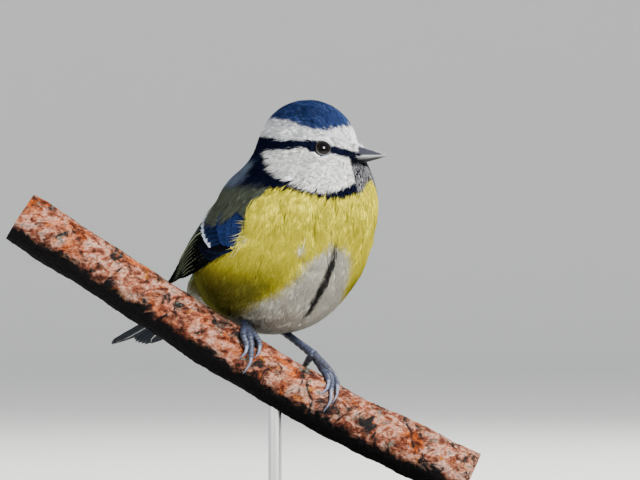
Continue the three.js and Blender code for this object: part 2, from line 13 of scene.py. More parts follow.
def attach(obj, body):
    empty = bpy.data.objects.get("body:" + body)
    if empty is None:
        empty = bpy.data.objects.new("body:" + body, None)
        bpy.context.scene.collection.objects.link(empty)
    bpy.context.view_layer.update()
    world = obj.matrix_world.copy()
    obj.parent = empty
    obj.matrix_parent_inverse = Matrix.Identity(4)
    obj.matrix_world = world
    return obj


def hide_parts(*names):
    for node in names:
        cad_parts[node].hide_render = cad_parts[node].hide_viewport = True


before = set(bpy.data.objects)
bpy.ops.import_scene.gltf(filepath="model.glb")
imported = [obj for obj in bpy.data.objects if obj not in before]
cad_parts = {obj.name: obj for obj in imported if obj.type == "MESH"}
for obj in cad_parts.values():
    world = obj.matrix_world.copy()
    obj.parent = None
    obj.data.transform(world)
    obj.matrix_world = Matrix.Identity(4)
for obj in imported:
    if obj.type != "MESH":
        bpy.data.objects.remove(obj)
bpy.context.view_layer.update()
MM = 0.001
RANDOM = np.random.default_rng(7)
spread, scatter = RANDOM.uniform, RANDOM.normal

# The bird's place and the masses of its plumage, as in the solids. Each mass has its centre and
# half sizes along forward, right and up, and its pitch in degrees.
TRUNK_CENTRE, TRUNK_HEADING = (1.9, 4.0, 71.4), 32.0
HEAD_CENTRE, HEAD_HEADING = (11.2, 0.0, 25.0), 72.0
BODY_MASSES = [
    ((-1, 0, 0), (25, 19.5, 16), 15),
    ((6.5, 0, 11), (20, 18.8, 13), 0),
    ((-5, 0, -8), (18, 13.5, 10.5), 0),
    ((-22, 0, -5), (15, 9.5, 8.5), 20),
    ((-28, 0, -9.5), (13, 6, 4.5), 22),
]
HEAD_MASSES = [
    ((0, 0, 0), (11.9, 11.2, 11.9), 0),
    ((5.9, 0, -6.5), (8.4, 8, 8.5), 0),
    ((2.5, 4.5, -4.5), (8, 7.5, 7), 0),
    ((2.5, -4.5, -4.5), (8, 7.5, 7), 0),
]
BODY_BLEND, HEAD_BLEND, NECK_BLEND = 5.0, 3.0, 7.0
SPINE = [(11.2, 25), (8.5, 13), (2, 2), (-11, -5), (-27, -10.8)]
EYE_FORWARD, EYE_UP, EYE_RADIUS, EYE_SUNK = 7.0, 0.2, 2.4, 1.7
BILL_BASE, BILL_TIP = 11.9, 19.3
SKIN_DEPTH = 0.9  # of the coat, from its outside to the skin


def size(rows):
    return np.linalg.norm(rows, axis=-1)


def unit(rows):
    return rows / np.maximum(np.linalg.norm(rows, axis=-1, keepdims=True), 1e-9)


def flattened(rows, normals):
    """Directions laid flat on surfaces with the given normals."""
    return unit(rows - normals * np.einsum("ij,ij->i", rows, normals)[:, None])


def turns(count):
    """Even angles round a circle."""
    return np.linspace(0, 2 * math.pi, count, endpoint=False)


def swing(angle, first, second):
    """Directions at angles from the first one towards the second."""
    return np.cos(angle)[..., None] * first + np.sin(angle)[..., None] * second


def smooth(x, low, high):
    t = np.clip((x - low) / (high - low), 0, 1)
    return t * t * (3 - 2 * t)


def line(*pairs):
    """A function through (x, value) pairs, straight between them."""
    xs, ys = zip(*pairs)
    return lambda x: np.interp(x, xs, ys)


class Heading:
    """Forward, right and up of a heading, for points in rows."""

    def __init__(self, origin, heading):
        turn = math.radians(heading)
        self.origin = np.array(origin, float)
        self.forward = np.array((math.sin(turn), -math.cos(turn), 0.0))
        self.right = np.array((-math.cos(turn), -math.sin(turn), 0.0))
        self.axes = np.array((self.forward, self.right, (0.0, 0.0, 1.0)))

    def place(self, points):
        return self.origin + np.asarray(points, float) @ self.axes

    def local(self, points):
        return (points - self.origin) @ self.axes.T


TRUNK = Heading(TRUNK_CENTRE, TRUNK_HEADING)
HEAD = Heading(TRUNK.place(HEAD_CENTRE), HEAD_HEADING)


def mass_distance(mass, points):
    centre, half, pitch = mass
    c, s = math.cos(math.radians(pitch)), math.sin(math.radians(pitch))
    d = points - np.array(centre, float)
    q = np.stack((d[:, 0] * c + d[:, 2] * s, d[:, 1], d[:, 2] * c - d[:, 0] * s), 1)
    half = np.array(half, float)
    near = size(q / half)
    return near * (near - 1) / np.maximum(size(q / half**2), 1e-6)


def smooth_min(a, b, blend):
    h = np.maximum(blend - np.abs(a - b), 0) / blend
    return np.minimum(a, b) - h * h * blend / 4


def blended(masses, points, blend):
    distance = mass_distance(masses[0], points)
    for mass in masses[1:]:
        distance = smooth_min(distance, mass_distance(mass, points), blend)
    return distance


def plumage(points):
    """Height above the outside of the plumage, negative inside."""
    body = blended(BODY_MASSES, TRUNK.local(points), BODY_BLEND)
    head = blended(HEAD_MASSES, HEAD.local(points), HEAD_BLEND)
    return smooth_min(body, head, NECK_BLEND)


def outward(points):
    here = plumage(points)
    return unit(np.stack([plumage(points + step) - here for step in np.eye(3) * 0.1], 1))


def settle(points, height, rounds=2):
    """Moves points along the normal until they are a height above the plumage."""
    points = np.array(points, float)
    for _ in range(rounds):
        points -= outward(points) * (plumage(points) - height)[:, None]
    return points


def catmull(points, count):
    """Evenly counted points on a smooth line through the given ones, with its tangents."""
    p = np.array(points, float)
    p = np.vstack((2 * p[0] - p[1], p, 2 * p[-1] - p[-2]))
    t = np.linspace(0, len(points) - 1, count)
    i = np.minimum(t.astype(int), len(points) - 2)
    f = (t - i)[:, None]
    a, b, c, d = p[i], p[i + 1], p[i + 2], p[i + 3]
    first, second, third = c - a, 2 * a - 5 * b + 4 * c - d, 3 * b - a - 3 * c + d
    return b + 0.5 * f * (first + f * (second + f * third)), unit(first + f * (2 * second + 3 * f * third))


def run_along(place):
    """The distance along a line of points from its first to each of them."""
    return np.append(0, np.cumsum(size(np.diff(place, axis=0))))


def sampled(rows, marks, at):
    """Rows that stand at marks, read off between them."""
    return np.stack([np.interp(at, marks, column) for column in rows.T], 1)


def srgb(*values):
    """A colour as the eye names it, 0 to 255, in linear light."""
    c = np.array(values, float) / 255
    return np.where(c <= 0.04045, c / 12.92, ((c + 0.055) / 1.055) ** 2.4)


def blend_in(colours, share, colour):
    """One colour for all or one for each point, with another laid over a share of it."""
    return colours + (colour - colours) * np.clip(share, 0, 1)[:, None]


def colour_layer(mesh, name, rows):
    rgba = np.ones((len(rows), 4), np.float32)
    rgba[:, :3] = rows
    layer = mesh.color_attributes.new(name, "FLOAT_COLOR", "POINT")
    layer.data.foreach_set("color", rgba.ravel())


def mesh_object(name, material, slot, points, faces, colours, bake=None):
    """A mesh of triangles from arrays: points in millimetres, a colour and a bake place for each."""
    faces = np.asarray(faces, np.int32)
    mesh = bpy.data.meshes.new(name)
    mesh.vertices.add(len(points))
    mesh.vertices.foreach_set("co", (points * MM).astype(np.float32).ravel())
    mesh.loops.add(faces.size)
    mesh.loops.foreach_set("vertex_index", faces.ravel())
    mesh.polygons.add(len(faces))
    mesh.polygons.foreach_set("loop_start", np.arange(0, faces.size, 3, dtype=np.int32))
    mesh.polygons.foreach_set("use_smooth", np.ones(len(faces), bool))
    colour_layer(mesh, "Col", colours)
    if bake is not None:
        layer = mesh.uv_layers.new(name="OFBake")
        layer.data.foreach_set("uv", bake[faces.ravel()].astype(np.float32).ravel())
    mesh.update()
    mesh.validate()
    piece = bpy.data.objects.new(name, mesh)
    bpy.context.scene.collection.objects.link(piece)
    mesh.materials.append(material)
    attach(piece, "root")
    return piece


def grid_faces(rows, columns, around=True):
    """Triangles between rows of points, closed round when asked."""
    k = np.arange(columns if around else columns - 1)
    i = np.arange(rows - 1)[:, None] * columns
    a, b = (i + k).ravel(), (i + (k + 1) % columns).ravel()
    c, d = b + columns, a + columns
    return np.vstack((np.stack((a, b, c), 1), np.stack((a, c, d), 1)))


def fan_faces(columns):
    """Triangles from the first point out to the ring that follows it."""
    k = np.arange(columns)
    return np.stack((0 * k, 1 + k, 1 + (k + 1) % columns), 1)


def closed_tube(rings):
    """Points and outward faces of rings of equal count, closed by a point at each end."""
    rows, columns = rings.shape[:2]
    points = np.vstack((rings.reshape(-1, 3), rings[0].mean(0), rings[-1].mean(0)))
    k = np.arange(columns)
    nxt = (k + 1) % columns
    last = (rows - 1) * columns
    start = np.stack((np.full(columns, rows * columns), nxt, k), 1)
    end = np.stack((np.full(columns, rows * columns + 1), last + k, last + nxt), 1)
    faces = np.vstack((grid_faces(rows, columns), start, end))
    p = points[faces]
    volume = np.einsum("ij,ij->i", p[:, 0], np.cross(p[:, 1], p[:, 2])).sum()
    return points, faces if volume > 0 else faces[:, ::-1]


def joined(lots):
    """Several lots of points, faces and colours as one."""
    points, faces, colours = zip(*lots)
    starts = np.cumsum([0] + [len(p) for p in points[:-1]])
    return np.vstack(points), np.vstack([f + n for f, n in zip(faces, starts)]), np.vstack(colours)


class Material:
    """A node material built by short calls."""

    def __init__(self, name, roughness=0.6, **sockets):
        self.material = bpy.data.materials.new(name)
        self.material.use_nodes = True
        self.tree = self.material.node_tree
        self.shader = self.tree.nodes["Principled BSDF"]
        self.shader.inputs["Roughness"].default_value = roughness
        for socket, value in sockets.items():
            self.shader.inputs[socket.replace("_", " ")].default_value = value

    def node(self, kind, inputs=None, **settings):
        node = self.tree.nodes.new(kind)
        for key, value in settings.items():
            setattr(node, key, value)
        for key, value in (inputs or {}).items():
            self.put(node.inputs[key], value)
        return node

    def put(self, socket, value):
        if isinstance(value, bpy.types.NodeSocket):
            self.tree.links.new(value, socket)
        else:
            socket.default_value = value

    def noise(self, scale, detail=4.0, stretch=None, distortion=0.0, roughness=0.5):
        place = self.node("ShaderNodeTexCoord").outputs["Object"]
        if stretch:
            place = self.node("ShaderNodeMapping", {"Vector": place, "Scale": stretch}).outputs[0]
        inputs = {"Vector": place, "Scale": scale, "Detail": detail}
        inputs.update({"Distortion": distortion, "Roughness": roughness})
        return self.node("ShaderNodeTexNoise", inputs).outputs["Fac"]

    def ramp(self, value, *stops):
        """A ramp through (place, colour) stops; one number for a colour is a grey."""
        node = self.node("ShaderNodeValToRGB", {"Fac": value})
        elements = node.color_ramp.elements
        while len(elements) < len(stops):
            elements.new(0.5)
        for element, (place, colour) in zip(elements, stops):
            element.position = place
            element.color = (*np.full(3, colour, float), 1.0)
        return node.outputs["Color"]

    def mask(self, value, low, high):
        return self.ramp(value, (low, 0), (high, 1))

    def mix(self, share, a, b, how="MIX"):
        node = self.node("ShaderNodeMix", data_type="RGBA", blend_type=how)
        for socket, value in zip((node.inputs[0], node.inputs[6], node.inputs[7]), (share, a, b)):
            if not isinstance(value, (bpy.types.NodeSocket, float, int)):
                value = (*value, 1.0)
            self.put(socket, value)
        return node.outputs[2]

    def painted(self, output="Color"):
        return self.node("ShaderNodeAttribute", attribute_name="Col").outputs[output]

    def colour(self, value):
        self.put(self.shader.inputs["Base Color"], value)

    def rough(self, value, low, high):
        node = self.node("ShaderNodeMapRange", {"Value": value, "To Min": low, "To Max": high})
        self.put(self.shader.inputs["Roughness"], node.outputs[0])

    def bump(self, height, strength, distance):
        inputs = {"Height": height, "Strength": strength, "Distance": distance * MM}
        self.put(self.shader.inputs["Normal"], self.node("ShaderNodeBump", inputs).outputs[0])


def painted_material(name, roughness, fleck, scale, **sockets):
    """The mesh's own colours with a slight fine variation."""
    made = Material(name, roughness, **sockets)
    grain = made.noise(scale, 3.0)
    shade = made.ramp(grain, (0.3, 1 - fleck), (0.7, 1))
    made.colour(made.mix(1.0, made.painted(), shade, "MULTIPLY"))
    made.bump(grain, 0.25, 0.03)
    return made.material


# Colours of the plumage, as seen in an even light, but for two: the olive is the flanks' yellow darkened by
# painted shade, and the paler crown blue also serves as a painted highlight on the forehead.
CROWN = srgb(36, 52, 98)
CROWN_LIT_AND_PALE = srgb(62, 82, 130)
WHITE = srgb(244, 245, 248)
BROW = srgb(232, 234, 240)
NAVY = srgb(16, 20, 42)
BLACK = srgb(10, 11, 17)
BIB_FLECK = srgb(190, 192, 200)
NAPE_PATCH = srgb(118, 132, 158)
YELLOW = srgb(228, 216, 58)
OLIVE_IN_SHADE = srgb(98, 96, 42)
BELLY = srgb(212, 210, 200)
MANTLE = srgb(82, 88, 78)
RUMP = srgb(128, 142, 108)

# Borders of the head's markings: turn from the bill in degrees, height over the head's centre.
cap_border = line((0, 5.9), (33, 5.3), (52, 4.6), (75, 5.2), (104, 6.8), (130, 7.2), (180, 6.6))
stripe_top = line((0, -0.7), (9, -0.5), (42, 0.8), (61, 2.3), (86, 2.2), (110, 2.1), (135, 2.9), (180, 3.4))
stripe_low = line(
    (0, -1.9), (28, -1.9), (43, -1.4), (57, -1.5), (67, -0.9), (81, 0.2), (111, -0.2), (140, -0.4)
)
cheek_low = line(
    (24, -8.2), (44, -10.1), (59, -10.8), (74, -10.1), (88, -8.8), (99, -7.3), (117, -5.2), (136, -1)
)
collar_low = line(
    (0, -7.6), (6, -7.9), (20, -10.7), (44, -12.3), (59, -12.1), (87, -10.3), (110, -9.5), (180, -9)
)
CHEEK_FRONT, CHEEK_REAR = 25, 137
# On the trunk: the yellow's upper edge at each place along, and the half-width of the white belly
# and of its dark stripe at each height. One white spot lies on each side of the breast.
flank_top = line(
    (-30, -7), (-20, -4), (-7, -2.4), (4, 0.5), (9.9, 3.6),
    (11.4, 5), (12.2, 9.5), (13.4, 12), (16, 13.5), (17, 16),
)
belly_half = line((-20, 12), (-12, 11.5), (-10, 9), (-7.4, 7.6), (-4, 6.4), (-1.7, 5.4), (1.2, 1.5), (3, -3))
stripe_half = line((-15, 0.5), (-12, 0.9), (-8, 1.15), (-3, 1.0), (0.5, 0.7), (2.2, 0.1))
BREAST_SPOT = (21.2, 8.3, 0.7)


def jitter(points, scale, amount):
    """A smooth waver of each point's own, from a few sines."""
    x, y, z = (points * scale).T
    wave = np.sin(x * 1.7 + 2.1 * np.sin(y * 1.3)) + np.sin(z * 2.3 + 1.7 * np.sin(x))
    return amount * (wave + 0.6 * np.sin(y * 3.1 + z * 2.7))


def markings(points):
    """The plumage's colour at points of the room."""
    x, y, z = points.T
    front, side, level = HEAD.local(points).T
    turn = np.degrees(np.arctan2(np.abs(side), front))
    trunk = TRUNK.local(points)
    along, across, up = trunk[:, 0], np.abs(trunk[:, 1]), trunk[:, 2]
    wave = jitter(points, 1.9, 0.12)
    # Trunk: mantle above, yellow below, with a white belly and its dark stripe.
    colours = blend_in(MANTLE, smooth(-along, 14, 24), RUMP)
    # The olive here is partly the flanks' own tone and mostly painted shade: it darkens the yellow on the
    # lower and outer flanks, towards the rear and most at the vent.
    yellow = blend_in(YELLOW, 0.9 * smooth(-up, -1, 9) * smooth(across, 7, 14), OLIVE_IN_SHADE)
    yellow = blend_in(yellow, 0.7 * smooth(-along, -12, 10), OLIVE_IN_SHADE)
    yellow = blend_in(yellow, smooth(-along, 10, 20), OLIVE_IN_SHADE * 0.7)
    below = smooth(flank_top(along) - up + wave, -0.5, 0.5) * smooth(-up, -17, -15)
    colours = blend_in(colours, np.maximum(below, smooth(along, 17.0, 18.5)), yellow)
    white = smooth(belly_half(up) - across + 3 * wave, -1.6, 1.4)
    # Painted shade: the belly's white darkens to half its brightness towards the rear.
    colours = blend_in(colours, white * below, blend_in(BELLY, smooth(-along, -14, 4), BELLY * 0.5))
    stripe = smooth(stripe_half(up) - across + wave, -0.3, 0.3) * smooth(along, 7, 11) * (up < 2.5)
    colours = blend_in(colours, 0.96 * stripe, BLACK * 1.6)
    colours = blend_in(colours, 0.85 * smooth(-size(trunk - BREAST_SPOT), -1.3, -0.5), WHITE)
    # Head: from the collar up.
    soft = 0.25 + 1.3 * smooth(turn, 105, 135)
    on_head = smooth(level - collar_low(turn) + wave, -soft, soft)
    patch = smooth(turn + 5 * wave, 141, 152) * smooth(-np.abs(level + 6.2), -4.2, -2)
    head = blend_in(NAVY, 0.7 * patch, NAPE_PATCH)
    cheek = smooth(level - cheek_low(turn) + wave, -0.3, 0.3)
    cheek *= smooth(stripe_low(turn) - level + 0.5 * wave, -0.2, 0.2)
    cheek *= smooth(turn + 3 * wave, CHEEK_FRONT - 2, CHEEK_FRONT + 2)
    cheek *= smooth(-turn + 4 * wave, -CHEEK_REAR - 3, -CHEEK_REAR + 3)
    head = blend_in(head, cheek, WHITE)
    bib = smooth(-turn, -CHEEK_FRONT, -CHEEK_FRONT + 3) * smooth(-level, 1.5, 3)
    fleck = 0.5 + 0.5 * np.sin(x * 5.1 + 3 * np.sin(z * 4.3) + y * 3.7)
    head = blend_in(head, bib * 0.9, BLACK * 1.5)
    head = blend_in(head, bib * 0.85 * smooth(fleck, 0.5, 0.8) * smooth(-level, 3, 5), BIB_FLECK)
    head = blend_in(head, smooth(level - stripe_top(turn) + 0.6 * wave, -0.2, 0.2), BROW)
    pale = 0.5 + 0.5 * np.sin(x * 1.3 + z * 0.9 + 2 * np.sin(y * 0.8))
    # The crown goes paler at random, and towards the forehead as a painted highlight.
    crown = blend_in(CROWN, 0.35 * pale + 0.25 * smooth(-turn, -60, -10), CROWN_LIT_AND_PALE)
    head = blend_in(head, smooth(level - cap_border(turn) + 1.5 * wave, -0.35, 0.35), crown)
    return blend_in(colours, on_head, head)


# Skin: rings of rays from the spine, with a cap of rays at each end.
RINGS, SEGMENTS, CAPS = 110, 128, 16
FARTHEST = 34.0  # that the plumage reaches from the spine


def cast(origins, directions, height):
    """Goes along each ray to where the plumage is at the given height."""
    near, far = np.zeros(len(origins)), np.full(len(origins), FARTHEST)
    for _ in range(18):
        middle = (near + far) / 2
        inside = plumage(origins + directions * middle[:, None]) < height
        near, far = np.where(inside, middle, near), np.where(inside, far, middle)
    return origins + directions * near[:, None]


def spine_rays():
    """Origins, directions and the spine's own direction of each ring's rays."""
    place, tangent = catmull([(a, 0, z) for a, z in SPINE], RINGS)
    centre = TRUNK.place(place)
    along = unit(tangent @ TRUNK.axes)
    dorsal = np.cross(TRUNK.right, along)
    radial = swing(turns(SEGMENTS), TRUNK.right, dorsal[:, None])
    tilts = [(0, math.radians(180 - 90 * i / CAPS)) for i in range(1, CAPS)]
    tilts += [(i, math.pi / 2) for i in range(RINGS)]
    tilts += [(RINGS - 1, math.radians(90 - 90 * i / CAPS)) for i in range(1, CAPS)]
    origins = np.stack([np.tile(centre[i], (SEGMENTS, 1)) for i, _ in tilts])
    rays = np.stack([math.sin(t) * radial[i] + math.cos(t) * along[i] for i, t in tilts])
    lie = np.stack([np.tile(along[i], (SEGMENTS, 1)) for i, _ in tilts])
    return origins, unit(rays), lie


ORIGINS, RAYS, SPINE_LIE = spine_rays()
SURFACE = cast(ORIGINS.reshape(-1, 3), RAYS.reshape(-1, 3), 0.0).reshape(ORIGINS.shape)


def make_skin():
    points = settle(SURFACE.reshape(-1, 3), -SKIN_DEPTH, 3).reshape(SURFACE.shape)
    points, faces = closed_tube(points)
    made = painted_material("skin", 0.85, 0.35, 900.0, Specular_IOR_Level=0.0)
    # The skin is the markings at 0.62 of their brightness: partly the grey down under the coat, partly
    # painted shade under it.
    skin = mesh_object("skin", made, "plumage_body", points, faces, markings(points) * 0.62)
    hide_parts("head", "neck", "torso")


make_skin()

EYE_SIDES, LID_SIDES = 48, 10
PUPIL, IRIS = srgb(4, 3, 4), srgb(15, 9, 7)
LID_DARK, LID_GREY = srgb(12, 12, 17), srgb(84, 88, 98)


def make_eye(side, name):
    """A wet ball in its lid. Gives the place and normal of the plumage's outside there."""
    inside = HEAD.place((EYE_FORWARD, 0, EYE_UP))[None]
    surface = cast(inside, side * HEAD.right[None], 0.0)
    normal = outward(surface)[0]
    centre = surface[0] - normal * EYE_SUNK
    up = unit(np.array((0.0, 0.0, 1.0)) - normal * normal[2])
    angle = turns(EYE_SIDES)
    circle = swing(angle, np.cross(normal, up), up)

    tilt = np.linspace(0.04, math.pi - 0.04, 28)[:, None]
    points, faces = closed_tube(centre + EYE_RADIUS * swing(tilt, normal, circle))
    height = (points - centre) @ normal / EYE_RADIUS
    iris = smooth(height, 0.7, 0.76) * smooth(-height, -0.9, -0.84)
    wet = Material("eye_wet", 0.04, IOR=1.33, Specular_IOR_Level=0.3)
    wet.colour(wet.painted())
    piece = mesh_object(f"{name}_ball", wet.material, "eye", points, faces, blend_in(PUPIL, iris, IRIS))
    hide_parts(name)

    # The lid: a thin wrinkled rim, a little wider below, dark above and grey below.
    opening = math.sqrt(EYE_RADIUS**2 - EYE_SUNK**2)
    middle = centre + normal * (EYE_SUNK + 0.05) + circle * (opening + 0.05)
    thick = (0.11 + 0.02 * (1 - np.sin(angle))) * (1 + 0.1 * np.sin(angle * 15))
    rings = middle[:, None] + thick[:, None, None] * swing(turns(LID_SIDES), circle[:, None], normal)
    faces = grid_faces(EYE_SIDES + 1, LID_SIDES) % (EYE_SIDES * LID_SIDES)
    colours = blend_in(LID_DARK, 0.7 * np.repeat(smooth(-np.sin(angle), 0.1, 0.8), LID_SIDES), LID_GREY)
    leather = painted_material("lid", 0.6, 0.2, 1500.0, Specular_IOR_Level=0.2)
    mesh_object(f"{name}_lid", leather, "eye", rings.reshape(-1, 3), faces, colours)
    return surface[0], normal


EYES = [make_eye(1, "eye_right"), make_eye(-1, "eye_left")]

BILL_SIDES = 25
MOUTH_HEIGHT, MOUTH_RISE, MOUTH_GAP = -2.2, 0.75, 0.07  # the gap is each half's own share


def bill_half(upper):
    """Half of the bill in fine arched sections, flat along the mouth."""
    sign = 1 if upper else -1
    s = np.concatenate((np.linspace(-0.4, 0.9, 60), np.linspace(0.905, 1, 14)))
    on = np.maximum(s, 0)
    mouth = MOUTH_HEIGHT + MOUTH_RISE * on + MOUTH_GAP * sign
    ridge = 0.95 - 2.25 * on**1.25 if upper else -3.35 + 1.6 * on**1.5
    rise = np.maximum(np.abs(ridge - mouth), 0.16) * sign
    half = (1.85 - 1.6 * on**1.15) * (1 if upper else 0.9)
    angle = np.linspace(0, math.pi, BILL_SIDES)
    rings = np.zeros((len(s), BILL_SIDES, 3))
    rings[..., 0] = (BILL_BASE + (BILL_TIP - BILL_BASE) * s)[:, None]
    rings[..., 1] = half[:, None] * np.abs(np.cos(angle)) ** 1.15 * np.sign(np.cos(angle))
    rings[..., 2] = mouth[:, None] + rise[:, None] * np.sin(angle) ** 0.9
    points, faces = closed_tube(rings)
    along = np.append(np.repeat(s, BILL_SIDES), (s[0], s[-1]))
    lift = np.clip((points[:, 2] - np.interp(along, s, mouth)) / np.interp(along, s, rise), 0, 1)
    # Upper half: dark, with a pale painted highlight along the mouth, a blue-grey ridge and a paler tip.
    # Lower half: grey at the mouth and nearly black below it as painted shade, with a paler tip.
    if upper:
        colours = blend_in(srgb(38, 39, 50), smooth(-lift, -0.32, -0.15), srgb(156, 160, 162))
        colours = blend_in(colours, smooth(lift, 0.8, 1), srgb(66, 68, 82))
        colours = blend_in(colours, 0.7 * smooth(along, 0.8, 1), srgb(140, 142, 146))
    else:
        colours = blend_in(srgb(18, 18, 22), smooth(-lift, -0.3, -0.05), srgb(92, 94, 96))
        colours = blend_in(colours, 0.5 * smooth(along, 0.75, 1), srgb(120, 120, 122))
    grain = 0.93 + 0.07 * np.sin(along * 60 + lift * 25)
    return HEAD.place(points), faces, colours * grain[:, None]


def make_bill():
    horn = Material("bill_horn", 0.4, Specular_IOR_Level=0.35)
    grain = horn.noise(700.0, 4.0, (1.0, 1.0, 3.0))
    horn.colour(horn.mix(0.25, horn.painted(), horn.ramp(grain, (0.3, 0.1), (0.7, 0.5)), "OVERLAY"))
    horn.rough(grain, 0.28, 0.5)
    horn.bump(grain, 0.2, 0.05)
    for upper, name in ((True, "bill_upper"), (False, "bill_lower")):
        piece = mesh_object(f"{name}_horn", horn.material, "bill", *bill_half(upper))
        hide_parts(name)


make_bill()

# The perch: the same smooth line as in the solids, in the plane of the stand's rod.
PERCH_LINE = [
    (-60.7, 80.5), (-41.7, 68.3), (-17.9, 52.9), (1.2, 41.2), (16.7, 32.6), (29.7, 26.4), (46.4, 18.5)
]
PERCH_RADIUS = 6.3
PERCH_ROWS, PERCH_COLUMNS, END_RINGS = 460, 150, 39
KNOB_PLACE, KNOB_HEIGHT = 0.655, 0.55
YEAR_RING = 0.85
LINE_SAMPLES = 2000


def even_line(points, count):
    """Places and slopes of a smooth line at even distances."""
    place, slope = catmull(points, LINE_SAMPLES)
    run = run_along(place)
    at = np.linspace(0, run[-1], count)
    return sampled(place, run, at), unit(sampled(slope, run, at))


PERCH_PLACES, PERCH_SLOPES = even_line([(x, 0, z) for x, z in PERCH_LINE], 400)
PERCH_MARKS = np.linspace(0, 1, len(PERCH_PLACES))


def perch_point(share, angle, radius):
    """Places at a share of the perch's length, an angle round it and a distance from its middle."""
    along = unit(sampled(PERCH_SLOPES, PERCH_MARKS, share))
    up = np.stack((-along[:, 2], 0 * share, along[:, 0]), 1)
    near = np.array((0.0, -1.0, 0.0))
    return sampled(PERCH_PLACES, PERCH_MARKS, share) + radius[:, None] * swing(angle, up, near)


def bark_height(points):
    """Ridges, cracks and warts of the bark, in millimetres."""
    out = np.empty(len(points))
    for i, (x, y, z) in enumerate(points):
        coarse = noise.noise(Vector((x, y, z)) * 0.22)
        grain = noise.fractal(Vector((x * 0.62, y * 0.9, z * 0.62)), 1.0, 2.1, 4)
        crack = abs(noise.noise(Vector((x * 0.5 + 9, y * 1.1, z * 0.5))))
        out[i] = 0.22 * coarse + 0.16 * grain - 0.22 * max(0.0, 0.14 - crack) / 0.14
    return out


def bark_material():
    """Brown plates with rust, ochre, black and lichen over them, nearly black with painted shade on the
    underside, as the mesh's painted share marks it, and on dark spots.
    """
    body = Material("bark", 0.92, Specular_IOR_Level=0.04)
    patches = body.noise(420.0, 6.0, (1.0, 1.0, 1.6), 0.4, 0.65)
    tones = [srgb(30, 21, 19), srgb(88, 46, 34), srgb(130, 82, 64), srgb(160, 126, 112), srgb(84, 74, 70)]
    colour = body.ramp(patches, *zip((0.32, 0.42, 0.5, 0.58, 0.66), tones))
    rust = body.ramp(patches, (0.38, srgb(60, 20, 10)), (0.6, srgb(150, 72, 26)))
    spots = body.noise(230.0, 7.0, distortion=0.9, roughness=0.7)
    black = body.mask(spots, 0.51, 0.6)
    layers = [
        (body.mask(body.noise(120.0, 5.0, distortion=0.6, roughness=0.6), 0.53, 0.66), rust),
        (body.mask(body.noise(150.0, 5.0, distortion=0.4, roughness=0.6), 0.6, 0.68), srgb(150, 88, 12)),
        (black, srgb(26, 24, 25)),
        (body.mask(body.noise(260.0, 6.0, (1.0, 1.0, 1.6), 1.0, 0.65), 0.6, 0.66), srgb(84, 84, 78)),
    ]
    for share, paint in layers:
        colour = body.mix(share, colour, paint)
    streak = body.noise(1300.0, 4.0, (1.0, 1.0, 2.2), 0.3, 0.7)
    colour = body.mix(1.0, colour, body.ramp(streak, (0.36, 0.5), (0.62, 1.15)), "MULTIPLY")
    # Painted shade: the underside's share, mixed with the dark spots, takes the bark nearly black.
    underside_shade_and_spots = body.mask(body.mix(0.5, body.painted("Fac"), spots), 0.5, 0.62)
    body.colour(body.mix(underside_shade_and_spots, colour, srgb(10, 9, 10)))
    fine = body.noise(900.0, 6.0)
    body.rough(fine, 0.78, 1.0)
    body.bump(body.mix(0.5, fine, black), 0.7, 0.35)
    return body.material


def make_perch():
    share, angle = np.meshgrid(np.linspace(0, 1, PERCH_ROWS), turns(PERCH_COLUMNS), indexing="ij")
    share, angle = share.ravel(), angle.ravel()
    swell = 0.12 * np.sin(share * 31) + 0.1 * np.sin(share * 17 + angle * 2)
    swell += 0.08 * np.sin(angle * 3 + share * 40)
    knob = ((share - KNOB_PLACE) / 0.02) ** 2 + (np.sin(angle / 2 - 0.5) / 0.3) ** 2
    base = PERCH_RADIUS - 0.05 + swell
    relief = bark_height(perch_point(share, angle, base)) + KNOB_HEIGHT * np.exp(-knob)
    points = perch_point(share, angle, base + relief)
    # Painted shade: the upper side is bright and the underside nearly black, stored as each point's painted
    # share.
    under = smooth(-np.cos(angle), -0.6, 0.95)
    faces = grid_faces(PERCH_ROWS, PERCH_COLUMNS)[:, ::-1]
    bark = mesh_object("perch_bark", bark_material(), "bark", points, faces, under[:, None])
    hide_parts("perch")

    wood = Material("end_grain", 0.8)
    wood.colour(wood.mix(0.25, wood.painted(), srgb(120, 90, 60), "MULTIPLY"))
    wood.bump(wood.noise(1200.0, 4.0), 0.3, 0.1)
    rings = points.reshape(PERCH_ROWS, PERCH_COLUMNS, 3)
    for end, way, name in ((0, -1, "perch_end_left"), (-1, 1, "perch_end_right")):
        ring = rings[end]
        middle = ring.mean(0)
        steps = np.linspace(0, 1, END_RINGS + 1)[1:]
        disc = middle + (ring - middle) * steps[:, None, None]
        saw = 0.05 * np.sin(disc[..., 1] * 9) * (steps[:, None] < 0.97)
        points = np.vstack((middle, (disc + saw[..., None] * way * PERCH_SLOPES[end]).reshape(-1, 3)))
        faces = np.vstack((fan_faces(PERCH_COLUMNS), 1 + grid_faces(END_RINGS, PERCH_COLUMNS)))
        faces = faces[:, ::-way]
        radius = np.append(0, np.repeat(steps, PERCH_COLUMNS))
        wobble = radius * PERCH_RADIUS + 0.12 * np.sin(points[:, 1] * 1.3 + points[:, 2])
        grain = 0.86 + 0.14 * np.cos(wobble * 2 * math.pi / YEAR_RING)
        colours = blend_in(srgb(206, 176, 132) * grain[:, None], smooth(radius, 0.88, 0.93), srgb(92, 62, 44))
        mesh_object(name, wood.material, "bark", points, faces, colours)


make_perch()

